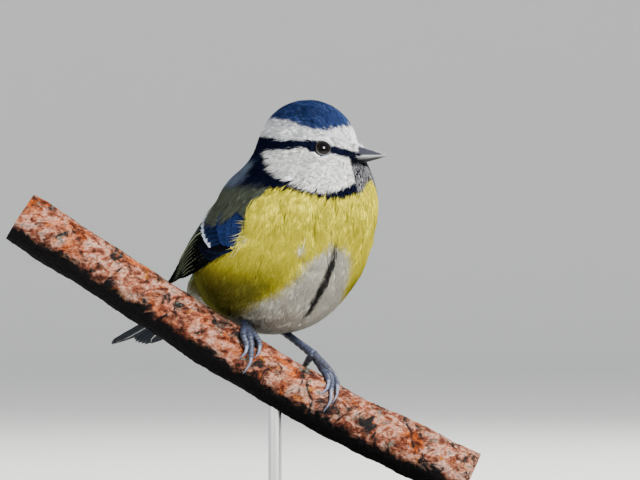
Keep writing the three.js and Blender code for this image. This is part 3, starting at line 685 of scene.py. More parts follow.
# Feet, as in the solids: heel, joint, then three toes and the hind toe, each a line of
# (x, z, radius) laid on the bark from the joint.
FEET = {
    "right": [
        (-8.4, 7.5, 60.2),
        (-6.9, -1.6, 54.3),
        [(-7.5, 52.6, 0.8), (-6.7, 50.2, 0.7), (-6.8, 48.7, 0.6), (-7.3, 47.9, 0.42), (-8.2, 46.9, 0.14)],
        [(-5.97, 51.9, 0.85), (-5.6, 50, 0.75), (-5.6, 47.8, 0.66), (-5.9, 45.7, 0.5), (-7.6, 43.2, 0.14)],
        [(-5.2, 52.8, 0.8), (-3.8, 50.7, 0.7), (-3.6, 49.3, 0.62), (-3.9, 48.1, 0.44), (-4.8, 46.9, 0.14)],
        [(-7.6, 54, 0.85), (-7.9, 52, 0.75), (-7.9, 49.8, 0.6), (-8.2, 47.6, 0.46), (-9, 45.4, 0.14)],
    ],
    "left": [
        (-0.7, 10.2, 55),
        (9.15, -1.4, 47.8),
        [(11.4, 44, 0.85), (12.7, 41.7, 0.7), (12.5, 40, 0.62), (11.9, 39.2, 0.44), (10.6, 38.2, 0.14)],
        [(11.9, 43.9, 0.9), (13.4, 41.7, 0.75), (13.4, 39.3, 0.66), (13.1, 36.6, 0.5), (11.5, 34.2, 0.14)],
        [(12.9, 43.9, 0.85), (14.6, 41.2, 0.7), (14.8, 39.1, 0.62), (14.6, 37.9, 0.44), (13.6, 36.2, 0.14)],
        [(8.1, 46.6, 0.85), (7.1, 45, 0.7), (6.1, 44.1, 0.55), (5.1, 42.9, 0.42), (4.6, 41.6, 0.14)],
    ],
}
SCUTE = 0.85  # the length of a scale on the toes and the shank
SHANK, SHANK_SHADE_AND_MOTTLE = srgb(60, 67, 90), srgb(12, 13, 20)
CLAW, CLAW_HIGHLIGHT = srgb(44, 46, 58), srgb(116, 122, 146)
CLAW_FROM, NO_CLAW = 0.68, 2.0
TOE_SIDES, TOE_SAMPLES = 16, 400


def on_bark(x, z, lift, behind):
    best = size(PERCH_PLACES[:, ::2] - (x, z)).min()
    depth = math.sqrt(max((PERCH_RADIUS + 0.2 + lift) ** 2 - best**2, 0))
    return (x, behind * depth, z)


def scaly_tube(points, radii, claw_from, step=0.16):
    """A toe or shank: overlapping scutes along it, then a smooth claw past claw_from (0 to 1)."""
    place, slope = catmull(points, TOE_SAMPLES)
    run = run_along(place)
    at = np.linspace(0, run[-1], max(int(run[-1] / step), 8))
    centre, along = sampled(place, run, at), unit(sampled(slope, run, at))
    radius = sampled(catmull([[r] for r in radii], TOE_SAMPLES)[0], run, at)
    share = at / run[-1]
    out = flattened(centre - sampled(PERCH_PLACES, PERCH_PLACES[:, 0], centre[:, 0]), along)
    angle = turns(TOE_SIDES)
    top = np.clip(np.cos(angle), 0, 1)[None]
    tooth = ((at / SCUTE) % 1.0)[:, None]
    horn = smooth(share, claw_from - 0.02, claw_from + 0.03)[:, None]
    edge = np.exp(-(((tooth - 0.12) / 0.16) ** 2))
    pads = 0.06 * np.cos(at * 2 * math.pi / 2.1)[:, None] * (1 - top)
    shape = 1 + (1 - horn) * (0.14 * (1 - tooth) * top - 0.2 * edge * top + pads)
    shape = shape - horn * (0.1 + 0.2 * np.abs(np.sin(angle)))
    rings = swing(angle, out[:, None], np.cross(along, out)[:, None])
    rings = centre[:, None] + (radius * shape)[..., None] * rings
    mottle = 0.35 * np.sin(at * 9.1 + 2 * np.sin(at * 3.7))[:, None] * np.cos(angle * 2 + at[:, None] * 1.3)
    # Painted shade darkens the creases between the scutes and the underside; the mottle is the scales' own
    # tone.
    shade = SHANK + (SHANK_SHADE_AND_MOTTLE - SHANK) * np.clip(edge * top + 0.7 * (1 - top) + mottle, 0, 1)[..., None]
    # The claws are pale on top as a painted highlight and darker horn beneath.
    nail = CLAW_HIGHLIGHT + (CLAW - CLAW_HIGHLIGHT) * (1 - top)[..., None] * np.ones((len(at), 1, 1))
    nail = nail * (1 - 0.45 * smooth(share, 0.9, 1))[:, None, None]
    colours = (shade + (nail - shade) * horn[..., None]).reshape(-1, 3)
    return *closed_tube(rings), np.vstack((colours, colours[0], colours[-1]))


def make_feet():
    scaly = painted_material("scales", 0.5, 0.45, 1100.0, Specular_IOR_Level=0.3)
    for side, (heel, joint, *toes) in FEET.items():
        parts = []
        for toe, behind in zip(toes, (-1, -1, -1, 1)):
            laid = [joint] + [on_bark(x, z, r, behind) for x, z, r in toe]
            parts.append(scaly_tube(laid, [1.05] + [r for *_, r in toe], CLAW_FROM))
        piece = mesh_object(f"foot_{side}_toes", scaly, "leg", *joined(parts))
        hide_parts(f"foot_{side}")
        middle = (np.array(heel) + joint) / 2
        shank = scaly_tube([heel, middle, joint], [1.05, 0.88, 1.12], NO_CLAW)
        piece = mesh_object(f"leg_{side}_shank", scaly, "leg", *shank)
        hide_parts(f"leg_{side}")


make_feet()


def make_stand():
    steel = Material("steel", 0.3, Metallic=1.0)
    brushed = steel.noise(260.0, 4.0, (1.0, 1.0, 0.03))
    steel.colour(steel.ramp(brushed, (0.3, (0.5, 0.51, 0.53)), (0.7, (0.62, 0.63, 0.65))))
    steel.rough(brushed, 0.24, 0.38)
    lacquer = Material("lacquer", 0.3, Coat_Weight=0.3, Coat_Roughness=0.15)
    grain = lacquer.noise(60.0, 6.0, (1.0, 9.0, 1.0))
    lacquer.colour(lacquer.ramp(grain, (0.35, srgb(30, 25, 23)), (0.7, srgb(46, 37, 32))))
    lacquer.rough(grain, 0.26, 0.42)
    lacquer.bump(grain, 0.12, 0.1)
    for node, made in (("stand_rod", steel), ("stand_base", lacquer)):
        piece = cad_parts[node]
        piece.data.materials.clear()
        piece.data.materials.append(made.material)


make_stand()

FLOOR_SIDES, FLOOR_RADIUS, FLOOR_BEND, FLOOR_TOP = 96, 2600.0, 1200.0, 3000.0
# Each light: name, place and size in millimetres, power in watts, colour.
LIGHTS = [
    ("key", (620, -760, 820), 420, 60.0, (1.0, 0.96, 0.88)),
    ("fill", (-800, -700, 350), 700, 3.2, (0.88, 0.94, 1.0)),
    ("rim", (300, 800, 700), 400, 8.0, (1.0, 1.0, 1.0)),
]
LIT_POINT = Vector((0, 0, 70))
# The photograph's frame is 640 by 480, at 4.2 of its pixels to a millimetre.
PHOTO_SCALE, PHOTO_SIZE, ORIGIN_IN_PHOTO = 4.2, (640, 480), (275.0, 554.9)
LENS, SENSOR = 400.0, 36.0


def make_floor():
    """A pale floor that curves up all round."""
    floor = Material("floor", 0.9)
    floor.colour((0.86, 0.86, 0.84, 1.0))
    bowl = [(FLOOR_RADIUS, 0.0)]
    for t in np.linspace(0.1, math.pi / 2, 12):
        bowl.append((FLOOR_RADIUS + FLOOR_BEND * math.sin(t), FLOOR_BEND * (1 - math.cos(t))))
    bowl.append((FLOOR_RADIUS + FLOOR_BEND, FLOOR_TOP))
    circle = swing(turns(FLOOR_SIDES), *np.eye(3)[:2])
    points = np.vstack([(0, 0, 0)] + [r * circle + (0, 0, z) for r, z in bowl]) * MM
    faces = np.vstack((fan_faces(FLOOR_SIDES), 1 + grid_faces(len(bowl), FLOOR_SIDES)[:, ::-1]))
    mesh = bpy.data.meshes.new("floor")
    mesh.from_pydata(points.tolist(), [], faces.tolist())
    mesh.polygons.foreach_set("use_smooth", np.arange(len(faces)) >= FLOOR_SIDES)
    mesh.materials.append(floor.material)
    stage = bpy.data.objects.new("floor", mesh)
    bpy.context.scene.collection.objects.link(stage)


def make_lights():
    world = bpy.data.worlds.new("room")
    world.use_nodes = True
    world.node_tree.nodes["Background"].inputs["Color"].default_value = (0.86, 0.93, 1.0, 1.0)
    world.node_tree.nodes["Background"].inputs["Strength"].default_value = 0.6
    bpy.context.scene.world = world
    for name, place, width, power, colour in LIGHTS:
        light = bpy.data.lights.new(name, "AREA")
        light.size, light.energy, light.color = width * MM, power, colour
        lamp = bpy.data.objects.new(name, light)
        lamp.location = Vector(place) * MM
        lamp.rotation_euler = (LIT_POINT - Vector(place)).to_track_quat("-Z", "Y").to_euler()
        bpy.context.scene.collection.objects.link(lamp)


def make_camera():
    """A long lens level with the bird, to the photograph's scale."""
    width, height = (pixels / PHOTO_SCALE for pixels in PHOTO_SIZE)
    x, z = (pixels / PHOTO_SCALE for pixels in ORIGIN_IN_PHOTO)
    data = bpy.data.cameras.new("camera")
    data.lens, data.sensor_width, data.clip_end = LENS, SENSOR, 50.0
    camera = bpy.data.objects.new("camera", data)
    camera.location = Vector((width / 2 - x, -width * LENS / SENSOR, z - height / 2)) * MM
    camera.rotation_euler = (math.pi / 2, 0, 0)
    bpy.context.scene.collection.objects.link(camera)
    bpy.context.scene.camera = camera


make_floor()
make_lights()
make_camera()

# The folded wing: a shell round the body. u runs back from the wrist in millimetres, v across from
# the outermost primary's edge (0) to the innermost tertial's (1).
WRIST_FORWARD, WING_SLANT = 18, 0.97
WING_OUTSIDE = 1.9  # of the topmost feathers, over the shell
wing_half_width = line((0, 11), (8, 17.8), (16, 20.8), (24, 20.6), (34, 17.5), (44, 13.2), (54, 9), (64, 5.6))
wing_half_height = line((0, 12), (12, 15.5), (24, 15.5), (36, 12), (50, 8), (64, 5))
wing_middle = line((0, 5), (24, 0.5), (44, -3.5), (64, -7.5))
wing_low_edge = line((0, 4), (12, 0), (24, -3), (45, 0), (54, -2), (64, -4))
wing_high_edge = line((0, 24), (8, 38), (16, 54), (26, 64), (40, 62), (64, 42))
RACHIS = -0.22  # where the shaft lies across a vane, from -1 (outer edge) to 1
VANE_COLUMNS = 11
LONG_STEPS, SHORT_STEPS, TAIL_STEPS = 30, 16, 34  # along a vane

DEEP_BLUE = srgb(14, 20, 40)
COVERT_BLUE = srgb(25, 38, 76)
FLIGHT_DARK = srgb(9, 10, 13)
PRIMARY_DARK = FLIGHT_DARK * 0.7
FLIGHT_EDGE = srgb(168, 178, 148)
FLIGHT_BLUE = srgb(18, 24, 38)
TERTIAL = srgb(26, 33, 36)
WING_BAR = srgb(186, 195, 214)
TAIL_BLUE = srgb(34, 50, 80)
TAIL_UNDER = srgb(40, 43, 48)


def eased(table, u):
    """The table's value, rounded off between its points."""
    return (table(u - 3) + table(u - 1.2) + table(u + 1.2) + table(u + 3)) / 4


def wing_point(side, u, v, height):
    low, high = eased(wing_low_edge, u), eased(wing_high_edge, u)
    angle = np.radians(low + (high - low) * v)
    right = (eased(wing_half_width, u) + height) * np.cos(angle)
    up = eased(wing_middle, u) + (eased(wing_half_height, u) + height) * np.sin(angle)
    return TRUNK.place(np.stack((WRIST_FORWARD - WING_SLANT * u, side * right, up), -1))


def vane_sheet(place, length, half, outline, steps, tilt, camber, thick, seed):
    """A feather's two faces and edge. place(s, w, h) puts it: along, across and out in millimetres.

    Gives its points and faces, the share along, the place across (-1 to 1) and barb coordinates.
    """
    s = 1 - (1 - np.linspace(0, 1, steps)) ** 1.25
    c = np.append((-1, -0.93, -0.86), np.linspace(-0.7, 1, VANE_COLUMNS - 3))
    s, c = np.meshgrid(s, c, indexing="ij")
    fray = 1 + 0.035 * np.sin(s * 71 + seed * 5) * (np.abs(c) > 0.95) * (s > 0.3)
    w = half * outline(s) * c * fray
    ridge = 0.07 * np.exp(-(((c - RACHIS) / 0.09) ** 2)) * (1 - 0.7 * s)
    h = -tilt * c * (1 - 0.3 * s) + camber * (1 - c**2) * (1 - 0.5 * s) + ridge
    along = s * length - min(0.06 * length, 1.3) * (c - 0.1) ** 2 * smooth(s, 0.55, 1.0)
    faces_of = (place(along, w, h + thick / 2), place(along, w, h - ridge - thick / 2))
    points = np.concatenate([face.reshape(-1, 3) for face in faces_of])
    n = s.size
    upper = grid_faces(steps, VANE_COLUMNS, around=False)
    grid = np.arange(n).reshape(s.shape)
    rim = np.concatenate((grid[0], grid[1:-1, -1], grid[-1, ::-1], grid[-2:0:-1, 0]))
    nxt = np.roll(rim, -1)
    side = np.vstack((np.stack((rim, nxt + n, nxt), 1), np.stack((rim, rim + n, nxt + n), 1)))
    faces = np.vstack((upper[:, ::-1], upper + n, side[:, ::-1]))
    s, c = np.tile(s.ravel(), 2), np.tile(c.ravel(), 2)
    barb = np.stack((s * length - np.abs(c - RACHIS) * half * 1.7, c * half, np.full(2 * n, seed * 7.7)), 1)
    return points, faces, s, c, barb


rounded = line((0, 0.6), (0.25, 0.92), (0.6, 1), (0.8, 0.93), (0.9, 0.76), (0.96, 0.52), (1, 0.12))
blunt = line((0, 0.6), (0.25, 0.92), (0.6, 1), (0.92, 0.98), (0.965, 0.84), (0.99, 0.55), (1, 0.3))
pointed = line((0, 0.6), (0.3, 0.95), (0.6, 0.95), (0.8, 0.72), (0.92, 0.42), (1, 0.06))


def wing_place(side, root, v0, base, rise, length):
    """Puts along, across and out of a wing feather on the shell."""

    def place(along, w, h):
        u = root + along
        per_v = size(wing_point(side, u, v0 + 0.01, 0) - wing_point(side, u, v0, 0)) / 0.01
        return wing_point(side, u, v0 + w / per_v, base + rise * (along / length) ** 0.8 + h)

    return place


def edged(inner, edge, c, reach, soft):
    """A vane's inner colour with another along its outer edge."""
    return blend_in(inner, smooth(-c, reach - soft, reach + soft), edge)


def wing_rows():
    """Each feather of the folded wing: kind, root, tip, place, half width, height, rise, outline."""
    rows = []
    for i, tip in enumerate((50, 55, 59.5, 62.5, 64, 63.5, 61.5, 59, 56.5, 54)):
        kind = "primary" if i else "first_primary"
        rows.append((kind, 15, tip, -0.11 + 0.052 * i, 1.55, 0.3, 0.25, pointed))
    for i, tip in enumerate((50.6, 50.2, 49.7, 49.2, 48.5, 47.6)):
        rows.append(("secondary", 15, tip, 0.40 + 0.063 * i, 1.85, 0.38, 0.35, rounded))
    for i, tip in enumerate((43.5, 39, 34)):
        rows.append(("tertial", 14, tip, 0.79 + 0.082 * i, 2.5, 0.5, 0.55 + 0.2 * i, rounded))
    for i in range(8):
        root, tip, v = 10.5 + 0.4 * i, 18.8 + 0.6 * i, -0.1 + 0.034 * i
        rows.append(("primary_covert", root, tip, v, 1.2, 0.5, 0.4, rounded))
    for i in range(12):
        v = 0.09 + 0.08 * i
        rows.append(("greater", 9, min(16.2 + 20 * v, 26), v, 1.75, 0.55, 0.5, rounded))
    for i in range(3):
        rows.append(("alula", 8 + i, 14.5 + 2.2 * i, -0.09 + 0.055 * i, 1.3, 0.65, 0.45, rounded))
    for i in range(10):
        v = 0.1 + 0.095 * i
        rows.append(("median", 7, min(12.6 + 8 * v, 17), v, 1.9, 0.75, 0.5, rounded))
    for row in range(3):
        for i in range(9):
            v = 0.05 + 0.1 * i + 0.05 * (row % 2)
            root, tip, base = 7 - 0.5 * row, 11.6 - 2 * row + 2 * v, 0.85 + 0.08 * row
            rows.append(("lesser", root, tip, v, 1.8, base, 0.45, rounded))
    return rows


def wing_colours(kind, s, c, shade):
    if kind == "first_primary":
        return np.tile(PRIMARY_DARK, (len(s), 1))
    if kind == "primary":
        edge = edged(PRIMARY_DARK, FLIGHT_EDGE * 0.42, c, 0.88, 0.03)
        return blend_in(edge, smooth(s, 0.6, 0.9), PRIMARY_DARK)
    if kind == "secondary":
        inner = edged(FLIGHT_DARK, FLIGHT_BLUE, c, 0.3, 0.25)
        inner = edged(inner, FLIGHT_EDGE * 0.8, c, 0.88, 0.03)
        return blend_in(inner, smooth(s, 0.955, 0.985), WHITE * 0.85)
    if kind == "tertial":
        return blend_in(edged(TERTIAL, FLIGHT_BLUE, c, 0.2, 0.4), smooth(s, 0.93, 0.97), WHITE * 0.9)
    if kind == "primary_covert":
        return edged(FLIGHT_DARK, DEEP_BLUE, c, 0.5, 0.3)
    if kind == "greater":
        inner = edged(DEEP_BLUE * 0.75, COVERT_BLUE * 0.8, c, 0.4, 0.3) * shade
        return blend_in(inner, smooth(s - 0.03 * np.abs(c), 0.8, 0.84), WING_BAR)
    if kind == "alula":
        return edged(FLIGHT_DARK, DEEP_BLUE * 1.2, c, 0.55, 0.3)
    blue = edged(DEEP_BLUE, COVERT_BLUE, c, 0.2, 0.6) * shade
    return blend_in(blue, 0.35 * smooth(s, 0.8, 1), COVERT_BLUE)


def vane_material():
    """Painted vanes with fine barbs that slant from each shaft."""
    made = Material("vanes", 0.6, Specular_IOR_Level=0.0)
    lines = made.node("ShaderNodeAttribute", attribute_name="Barb").outputs["Vector"]
    fine = made.node("ShaderNodeMapping", {"Vector": lines, "Scale": (7.0, 0.35, 1.0)}).outputs[0]
    barbs = made.node("ShaderNodeTexNoise", {"Vector": fine, "Scale": 1.0, "Detail": 2.0}).outputs["Fac"]
    shade = made.ramp(barbs, (0.32, 0.62), (0.68, 1))
    made.colour(made.mix(1.0, made.painted(), shade, "MULTIPLY"))
    made.bump(barbs, 0.55, 0.06)
    made.rough(barbs, 0.5, 0.7)
    return made.material


VANES = vane_material()


def feather_object(name, node, lots):
    """One mesh of many vanes, each lot (points, faces, colours, barbs)."""
    piece = mesh_object(name, VANES, "flight_feathers", *joined([lot[:3] for lot in lots]))
    colour_layer(piece.data, "Barb", np.vstack([lot[3] for lot in lots]))
    piece.data.color_attributes.active_color_index = 0
    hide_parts(node)


def make_wing(side, node):
    lots = []
    for number, (kind, root, tip, v, half, base, rise, outline) in enumerate(wing_rows()):
        place = wing_place(side, root, v, base, rise, tip - root)
        long_one = kind in ("first_primary", "primary", "secondary", "tertial")
        steps, tilt = (LONG_STEPS, 0.17) if long_one else (SHORT_STEPS, 0.15)
        sheet = vane_sheet(place, tip - root, half, outline, steps, tilt, 0.1, 0.13, number + 1.0)
        points, faces, s, c, barb = sheet
        shade = 0.85 + 0.3 * ((number * 37) % 10) / 10
        lots.append((points, faces[:, ::side], wing_colours(kind, s, c, shade), barb))
    # The arm under the feathers.
    u, v = np.meshgrid(np.linspace(7, 30, 12), np.linspace(0.0, 1.0, 20), indexing="ij")
    inner, outer = wing_point(side, u, v, -1.5), wing_point(side, u, v, 0.25)
    points, faces = closed_tube(np.concatenate((outer, inner[:, ::-1]), 1))
    lots.append((points, faces, np.tile(FLIGHT_DARK * 0.8, (len(points), 1)), 0 * points))
    feather_object(f"{node}_feathers", node, lots)


make_wing(1, "wing_right")
make_wing(-1, "wing_left")

# The closed tail, as in the solids: six pairs, the middle pair on top.
TAIL_ROOT, TAIL_LENGTH, TAIL_SLOPE, TAIL_SWING = (-15, 0, -3.3), 50.0, 20.6, 8.7
TAIL_PAIRS, TAIL_HALF, TAIL_STEP = 6, 2.3, 0.18


def make_tail():
    lots = []
    slope = math.radians(TAIL_SLOPE)
    back = -TRUNK.forward * math.cos(slope)
    for pair in range(TAIL_PAIRS):
        outermost = pair == TAIL_PAIRS - 1
        for side in (1, -1):
            turn = math.radians(TAIL_SWING + side * (0.6 + 0.75 * pair))
            along = back * math.cos(turn) + TRUNK.right * math.cos(slope) * math.sin(turn)
            along = unit(along - np.array((0, 0, math.sin(slope))))
            out = unit(np.cross(along, unit(np.cross((0.0, 0.0, 1.0), along))))
            across = -side * np.cross(along, out)
            root = TRUNK.place(np.array(TAIL_ROOT) + (0, side * (0.35 + 0.42 * pair), 0))
            root = root - out * (TAIL_STEP * pair + 0.06 * (side < 0))
            length = TAIL_LENGTH - 1.6 * math.exp(-pair) - outermost

            def place(y, w, h):
                droop = -0.0036 * np.maximum(y - 25, 0) ** 1.5
                return root + y[..., None] * along + w[..., None] * across + (h + droop)[..., None] * out

            seed = 50 + pair * 2 + side
            sheet = vane_sheet(place, length, TAIL_HALF, blunt, TAIL_STEPS, 0.05, 0.08, 0.14, seed)
            points, faces, s, c, barb = sheet
            half = len(points) // 2
            top = edged(TAIL_BLUE * 0.7, TAIL_BLUE * 1.3, c[:half], 0.5, 0.3)
            under = edged(TAIL_UNDER, TAIL_UNDER * 1.3, c[half:], 0.9, 0.06)
            colours = np.vstack((top, under))
            if outermost:
                colours = blend_in(colours, smooth(-c, 0.8, 0.95), WHITE * 0.5)
            colours = blend_in(colours, 0.4 * smooth(s, 0.985, 1.0), WHITE * 0.3)
            facing = np.cross(points[1] - points[0], points[VANE_COLUMNS] - points[0]) @ out
            lots.append((points, faces[:, :: -1 if facing > 0 else 1], colours, barb))
    feather_object("tail_feathers", "tail", lots)


make_tail()

# The coat: small contour feathers, each a fan of barbs from a hidden shaft.
MOST_BLADES = 17000  # in a piece, each of ten triangles
COAT = painted_material("coat", 0.8, 0.1, 1300.0, Specular_IOR_Level=0.0)
COVER = 4.3  # feathers on a square of their own width
FEATHER_LENGTH = 2.45  # in widths
BARBS_HEAD, BARBS_BODY = 11, 28  # in a feather
BARB_HEAD, BARB_BODY = 0.065, 0.1  # half-widths
EVEN_STEPS = (0.7548776662, 0.5698402910)  # that fill a square evenly
EYE_CLEAR = 1.9  # round each eye's middle, without coat
HEAD_END, BODY_START = -8.5, -13.5  # heights under the head's centre, where the coat's pieces part
TUFT_BARBS, RING_BARBS, FRINGE_BARBS = 520, 420, 64
BILL_ROOT = HEAD.place((BILL_BASE - 0.6, 0, -1.4))
# On the wing: where the scapulars end across it, and where the breast's feathers end along it.
scapular_edge = line(
    (5.8, 0.98), (6.5, 0.82), (8.8, 0.6), (11, 0.44), (13.8, 0.33),
    (19, 0.32), (22, 0.42), (25, 0.58), (28, 1.1),
)
breast_edge = line((-0.18, 13), (-0.11, 10), (-0.05, 7.6), (0.15, 6.8), (0.39, 6.5), (0.62, 6.2), (1, 5.6))


def strands(roots, middles, tips, outs, half, thick, colours, tip_colours, bake):
    """Slender closed blades of three corners, pointed at the tip: points, faces, colours, places."""
    side0, side1 = unit(np.cross(middles - roots, outs)), unit(np.cross(tips - middles, outs))
    h, t = half[:, None], thick[:, None]
    base = [roots - side0 * h * 0.7, roots + side0 * h * 0.7, roots + outs * t * 0.7]
    waist = [middles - side1 * h, middles + side1 * h, middles + outs * t]
    points = np.stack([*base, *waist, tips], 1)
    blade = [(0, 1, 4), (0, 4, 3), (1, 2, 5), (1, 5, 4), (2, 0, 3), (2, 3, 5)]
    blade += [(3, 4, 6), (4, 5, 6), (5, 3, 6), (0, 2, 1)]
    faces = np.array(blade)[None] + (np.arange(len(roots)) * 7)[:, None, None]
    shades = np.stack([colours] * 3 + [(colours + tip_colours) / 2] * 3 + [tip_colours], 1)
    patch = 0.0015 * np.array([(-1, -1), (1, -1), (0, -1), (-1, 0), (1, 0), (0, 0), (0, 1)])
    places = bake[:, None] + patch[None]
    return points.reshape(-1, 3), faces.reshape(-1, 3), shades.reshape(-1, 3), places.reshape(-1, 2)


def coat_piece(name, slot, *rows):
    """Makes blades into as many pieces as keep each one small."""
    parts = max(1, math.ceil(len(rows[0]) / MOST_BLADES))
    for i in range(parts):
        mesh_object(f"{name}_{i + 1}", COAT, slot, *strands(*(row[i::parts] for row in rows)))


def wing_cover(points):
    """How far points lie on the folded wing (0 to 1), the height of its outside there, and whether
    the wing's own feathers are bare there."""
    t = TRUNK.local(points)
    u = (WRIST_FORWARD - t[:, 0]) / WING_SLANT
    across = np.abs(t[:, 1]) / eased(wing_half_width, u)
    rise = (t[:, 2] - eased(wing_middle, u)) / eased(wing_half_height, u)
    low, high = eased(wing_low_edge, u), eased(wing_high_edge, u)
    v = (np.degrees(np.arctan2(rise, across)) - low) / (high - low)
    low = -0.2 - 0.04 * smooth(-u, -10, -8)
    inside = smooth(v, low, low + 0.08) * smooth(-v, -1.12, -0.98) * smooth(u, 1, 5) * (u < 45)
    ragged = jitter(points, 2.3, 0.3) + scatter(0, 0.5, len(points))
    bare = (u > breast_edge(v) + ragged) & (u < 52) & (v > -0.18) & (v < scapular_edge(u) + 0.05 * ragged)
    shell = wing_point(np.sign(t[:, 1]), u, np.clip(v, 0, 1), WING_OUTSIDE)
    return inside, np.maximum(plumage(shell), 0.0), bare


def head_share(points):
    """1 on the head, 0 on the trunk."""
    return smooth(HEAD.local(points)[:, 2], BODY_START, HEAD_END)


def feather_width(points):
    on_head = np.clip(0.6 + 0.065 * size(points - BILL_ROOT), 0.7, 1.7)
    return on_head + (3.2 - on_head) * (1 - head_share(points))


def lie_of(points, normals, spine):
    """The way the coat lies: back from the bill on the head, along the spine on the trunk."""
    back = unit(unit(points - BILL_ROOT) - 0.35 * HEAD.forward)
    share = smooth(HEAD.local(points)[:, 2], -12, -5)[:, None]
    lie = flattened(unit(spine) * (1 - share) + back * share, normals)
    turn = 0.16 * jitter(points, 0.5, 1.0) + scatter(0, 0.05, len(points))
    return unit(swing(turn, lie, np.cross(normals, lie)))


def spread_roots():
    """Evenly spread places on the surface, closer where feathers are small."""
    du = SURFACE[1:] - SURFACE[:-1]
    dv = (np.roll(SURFACE, -1, axis=1) - SURFACE)[:-1]
    area = size(np.cross(du, dv))
    weight = area * COVER / feather_width(SURFACE[:-1].reshape(-1, 3)).reshape(area.shape) ** 2
    rows = np.append(0, np.cumsum(weight.sum(1)))
    cells = np.cumsum(weight, axis=1)
    n = np.arange(1, int(weight.sum()) + 1)
    first, second = ((0.5 + n * step) % 1 for step in EVEN_STEPS)
    at = first * rows[-1]
    i = np.clip(np.searchsorted(rows, at) - 1, 0, len(area) - 1)
    total = cells[i, -1] * second
    j = (cells[i] < total[:, None]).sum(1).clip(0, SEGMENTS - 1)
    before = np.where(j > 0, cells[i, j - 1], 0)
    fi = ((at - rows[i]) / (rows[i + 1] - rows[i]))[:, None]
    fj = ((total - before) / np.maximum(cells[i, j] - before, 1e-9)).clip(0, 1)[:, None]
    k = (j + 1) % SEGMENTS
    top = SURFACE[i, j] * (1 - fj) + SURFACE[i, k] * fj
    low = SURFACE[i + 1, j] * (1 - fj) + SURFACE[i + 1, k] * fj
    places = np.concatenate(((j[:, None] + fj) / SEGMENTS, (i[:, None] + fi) / len(SURFACE)), 1)
    return top * (1 - fi) + low * fi, SPINE_LIE[i, j], places * 0.94 + 0.03


def clear_of_eyes(points):
    return np.all([size(points - surface) > EYE_CLEAR for surface, _normal in EYES], axis=0)


def feather_barbs(roots, normals, lie, width, length, lift, barbs):
    """The barbs of many feathers: roots, middles and tips, each one's feather, and which are shown."""
    feather = np.repeat(np.arange(len(roots)), barbs)
    number = np.arange(len(feather)) - np.repeat(np.append(0, np.cumsum(barbs)[:-1]), barbs)
    x = (2 * (number + 0.5) / barbs[feather] - 1) + scatter(0, 0.06, len(feather))
    reach = 1 - 0.3 * x**2 + scatter(0, 0.16, len(feather))
    start = 0.12 + 0.3 * (1 - np.abs(x)) * RANDOM.random(len(feather))
    half_width = (np.cross(normals, lie) * width[:, None] / 2)[feather]
    whole_length = (lie * length[:, None])[feather]
    points, shown = [], np.ones(len(feather), bool)
    # The hidden root, the middle and the tip of each barb.
    for side, forward, height in (
        (0.1 * x, start, -SKIN_DEPTH - 0.05),
        (0.62 * x, (start + reach) / 2, -0.28),
        (x, reach, 0.0),
    ):
        raw = roots[feather] + half_width * side[:, None] + whole_length * forward[:, None]
        raw = settle(raw, 0.0)
        inside, wing, bare = wing_cover(raw)
        if height > -0.5:
            shown &= ~bare & clear_of_eyes(raw)
        over = inside * wing * (1 if height > -0.5 else ~bare)
        level = height + over + lift[feather] * max(0.0, 1 + height)
        points.append(raw + outward(raw) * level[:, None])
    points[2] = points[2] + scatter(0, 0.04, points[2].shape)
    return points, feather, shown


def make_coat():
    roots, spine, places = spread_roots()
    h = HEAD.local(roots)
    at_bill = (h[:, 0] > 10.9) & (np.abs(h[:, 1]) < 1.6) & (np.abs(h[:, 2] + 1.2) < 1.8)
    chosen = clear_of_eyes(roots) & ~at_bill
    roots, spine, places = roots[chosen], spine[chosen], places[chosen]
    count = len(roots)
    normals = outward(roots)
    lie = lie_of(roots, normals, spine)
    on_head = head_share(roots)
    width = feather_width(roots)
    length = width * FEATHER_LENGTH * spread(0.88, 1.15, count)
    barbs = np.round(BARBS_BODY + (BARBS_HEAD - BARBS_BODY) * on_head).astype(int)
    lift = spread(0.02, 0.09, count) + (1 - on_head) * spread(0, 0.06, count)
    (base, middle, tip), feather, shown = feather_barbs(roots, normals, lie, width, length, lift, barbs)
    on_head = on_head[feather]
    half = (BARB_BODY + (BARB_HEAD - BARB_BODY) * on_head) * spread(0.7, 1.3, len(feather))
    stray = scatter(0, 1, tip.shape) * (0.27 - 0.12 * on_head)[:, None]
    seen = markings(settle(middle * 0.35 + tip * 0.65, 0.0, 1) + stray)
    shade = spread(0.95, 1.04, count)[feather] * spread(0.82, 1.08, len(feather))
    # The back's feathers are streaked.
    shade *= np.where(TRUNK.local(roots)[:, 2] > 10, spread(0.6, 1.3, count), 1.0)[feather]
    tips = np.clip(seen * shade[:, None], 0, 1)
    # The roots are darker than the tips: partly the feathers' grey bases, partly painted shade between the
    # feathers.
    bases = tips * (0.74 + 0.14 * on_head)[:, None]
    rows = (base, middle, tip, outward(middle), half, half * 0.5, bases, tips, places[feather])
    level = HEAD.local(roots)[feather, 2]
    pieces = [("head", level > HEAD_END), ("body", level < BODY_START)]
    pieces.insert(1, ("neck", ~pieces[0][1] & ~pieces[1][1]))
    for name, part in pieces:
        coat_piece(f"coat_{name}", f"plumage_{name}", *(row[part & shown] for row in rows))


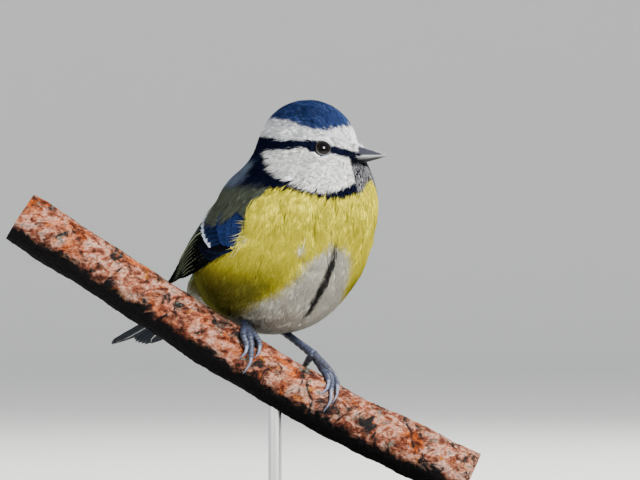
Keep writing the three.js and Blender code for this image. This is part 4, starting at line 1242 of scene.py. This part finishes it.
def make_fringes():
    """Loose pale barbs from the breast's side over the front of each wing."""
    count = FRINGE_BARBS
    for side in (1, -1):
        v = spread(-0.15, 0.95, count)
        u = breast_edge(v) - spread(0.8, 3.2, count)
        length = spread(1.4, 5.2, count)
        drop = scatter(0.06, 0.07, count)
        root = wing_point(side, u, v, 1.0)
        middle = wing_point(side, u + 0.55 * length, v - 1.1 * drop, WING_OUTSIDE)
        tip = wing_point(side, u + length, v - drop, spread(1.5, 2.0, count))
        colours = blend_in(YELLOW * 0.85, spread(0, 0.5, count), WHITE * 0.85)
        half = spread(0.03, 0.055, count)
        places = np.stack((0.25 + 0.2 * side + 0.1 * v, 0.5 + 0.01 * u), 1)
        # The roots are darker than the tips: partly the barbs' grey bases, partly painted shade.
        rows = (root, middle, tip, outward(middle), half, half * 0.5, colours * 0.7, colours, places)
        coat_piece("fringe_right" if side > 0 else "fringe_left", "plumage_body", *rows)


def make_bill_tuft():
    """Short bristles that point forward over the bill's root."""
    count = TUFT_BARBS
    angle = spread(0, 2 * math.pi, count)
    around = np.stack((0 * angle, 1.95 * np.cos(angle), 1.75 * np.sin(angle)), 1)
    root = np.array((BILL_BASE - 1.4, 0, -1.15)) + around * spread(0.9, 1.1, count)[:, None]
    root = settle(HEAD.place(root), -0.3)
    out = unit(around @ HEAD.axes)
    forward = unit(HEAD.forward + 0.12 * out + scatter(0, 0.16, (count, 3)))
    reach = forward * spread(0.7, 1.6, count)[:, None]
    colours = markings(settle(root, 0.0)) * spread(0.8, 1.05, count)[:, None]
    half = spread(0.04, 0.07, count)
    places = np.stack((0.05 + 0.9 * angle / (2 * math.pi), np.full(count, 0.015)), 1)
    rows = (root, root + reach * 0.55 + out * 0.05, root + reach, out, half, half * 0.6)
    # The roots are darker than the tips: partly the bristles' grey bases, partly painted shade.
    coat_piece("coat_bill", "plumage_head", *rows, colours * 0.8, colours, places)


def make_eye_rings():
    """Tiny feathers that lie away from the eyelids."""
    count = RING_BARBS
    for number, (surface, normal) in enumerate(EYES):
        angle = spread(0, 2 * math.pi, count)
        back = unit(-HEAD.forward + normal * np.dot(HEAD.forward, normal))
        ray = swing(angle, back, np.cross(normal, back))
        root = settle(surface + ray * spread(1.8, 2.5, count)[:, None], -0.35)
        reach = unit(ray + 0.7 * back + scatter(0, 0.12, (count, 3))) * spread(0.7, 1.3, count)[:, None]
        middle = settle(root + reach * 0.55, -0.06)
        tip = settle(root + reach, 0.02)
        colours = markings(tip) * spread(0.85, 1.03, count)[:, None]
        half = spread(0.045, 0.07, count)
        places = np.stack((0.1 + 0.12 * angle + 0.02 * number, np.full(count, 0.965)), 1)
        # The roots are darker than the tips: partly the feathers' grey bases, partly painted shade.
        rows = (root, middle, tip, outward(middle), half, half * 0.5, colours * 0.85, colours, places)
        coat_piece(f"coat_eye_{number + 1}", "plumage_head", *rows)


make_coat()
make_fringes()
make_bill_tuft()
make_eye_rings()
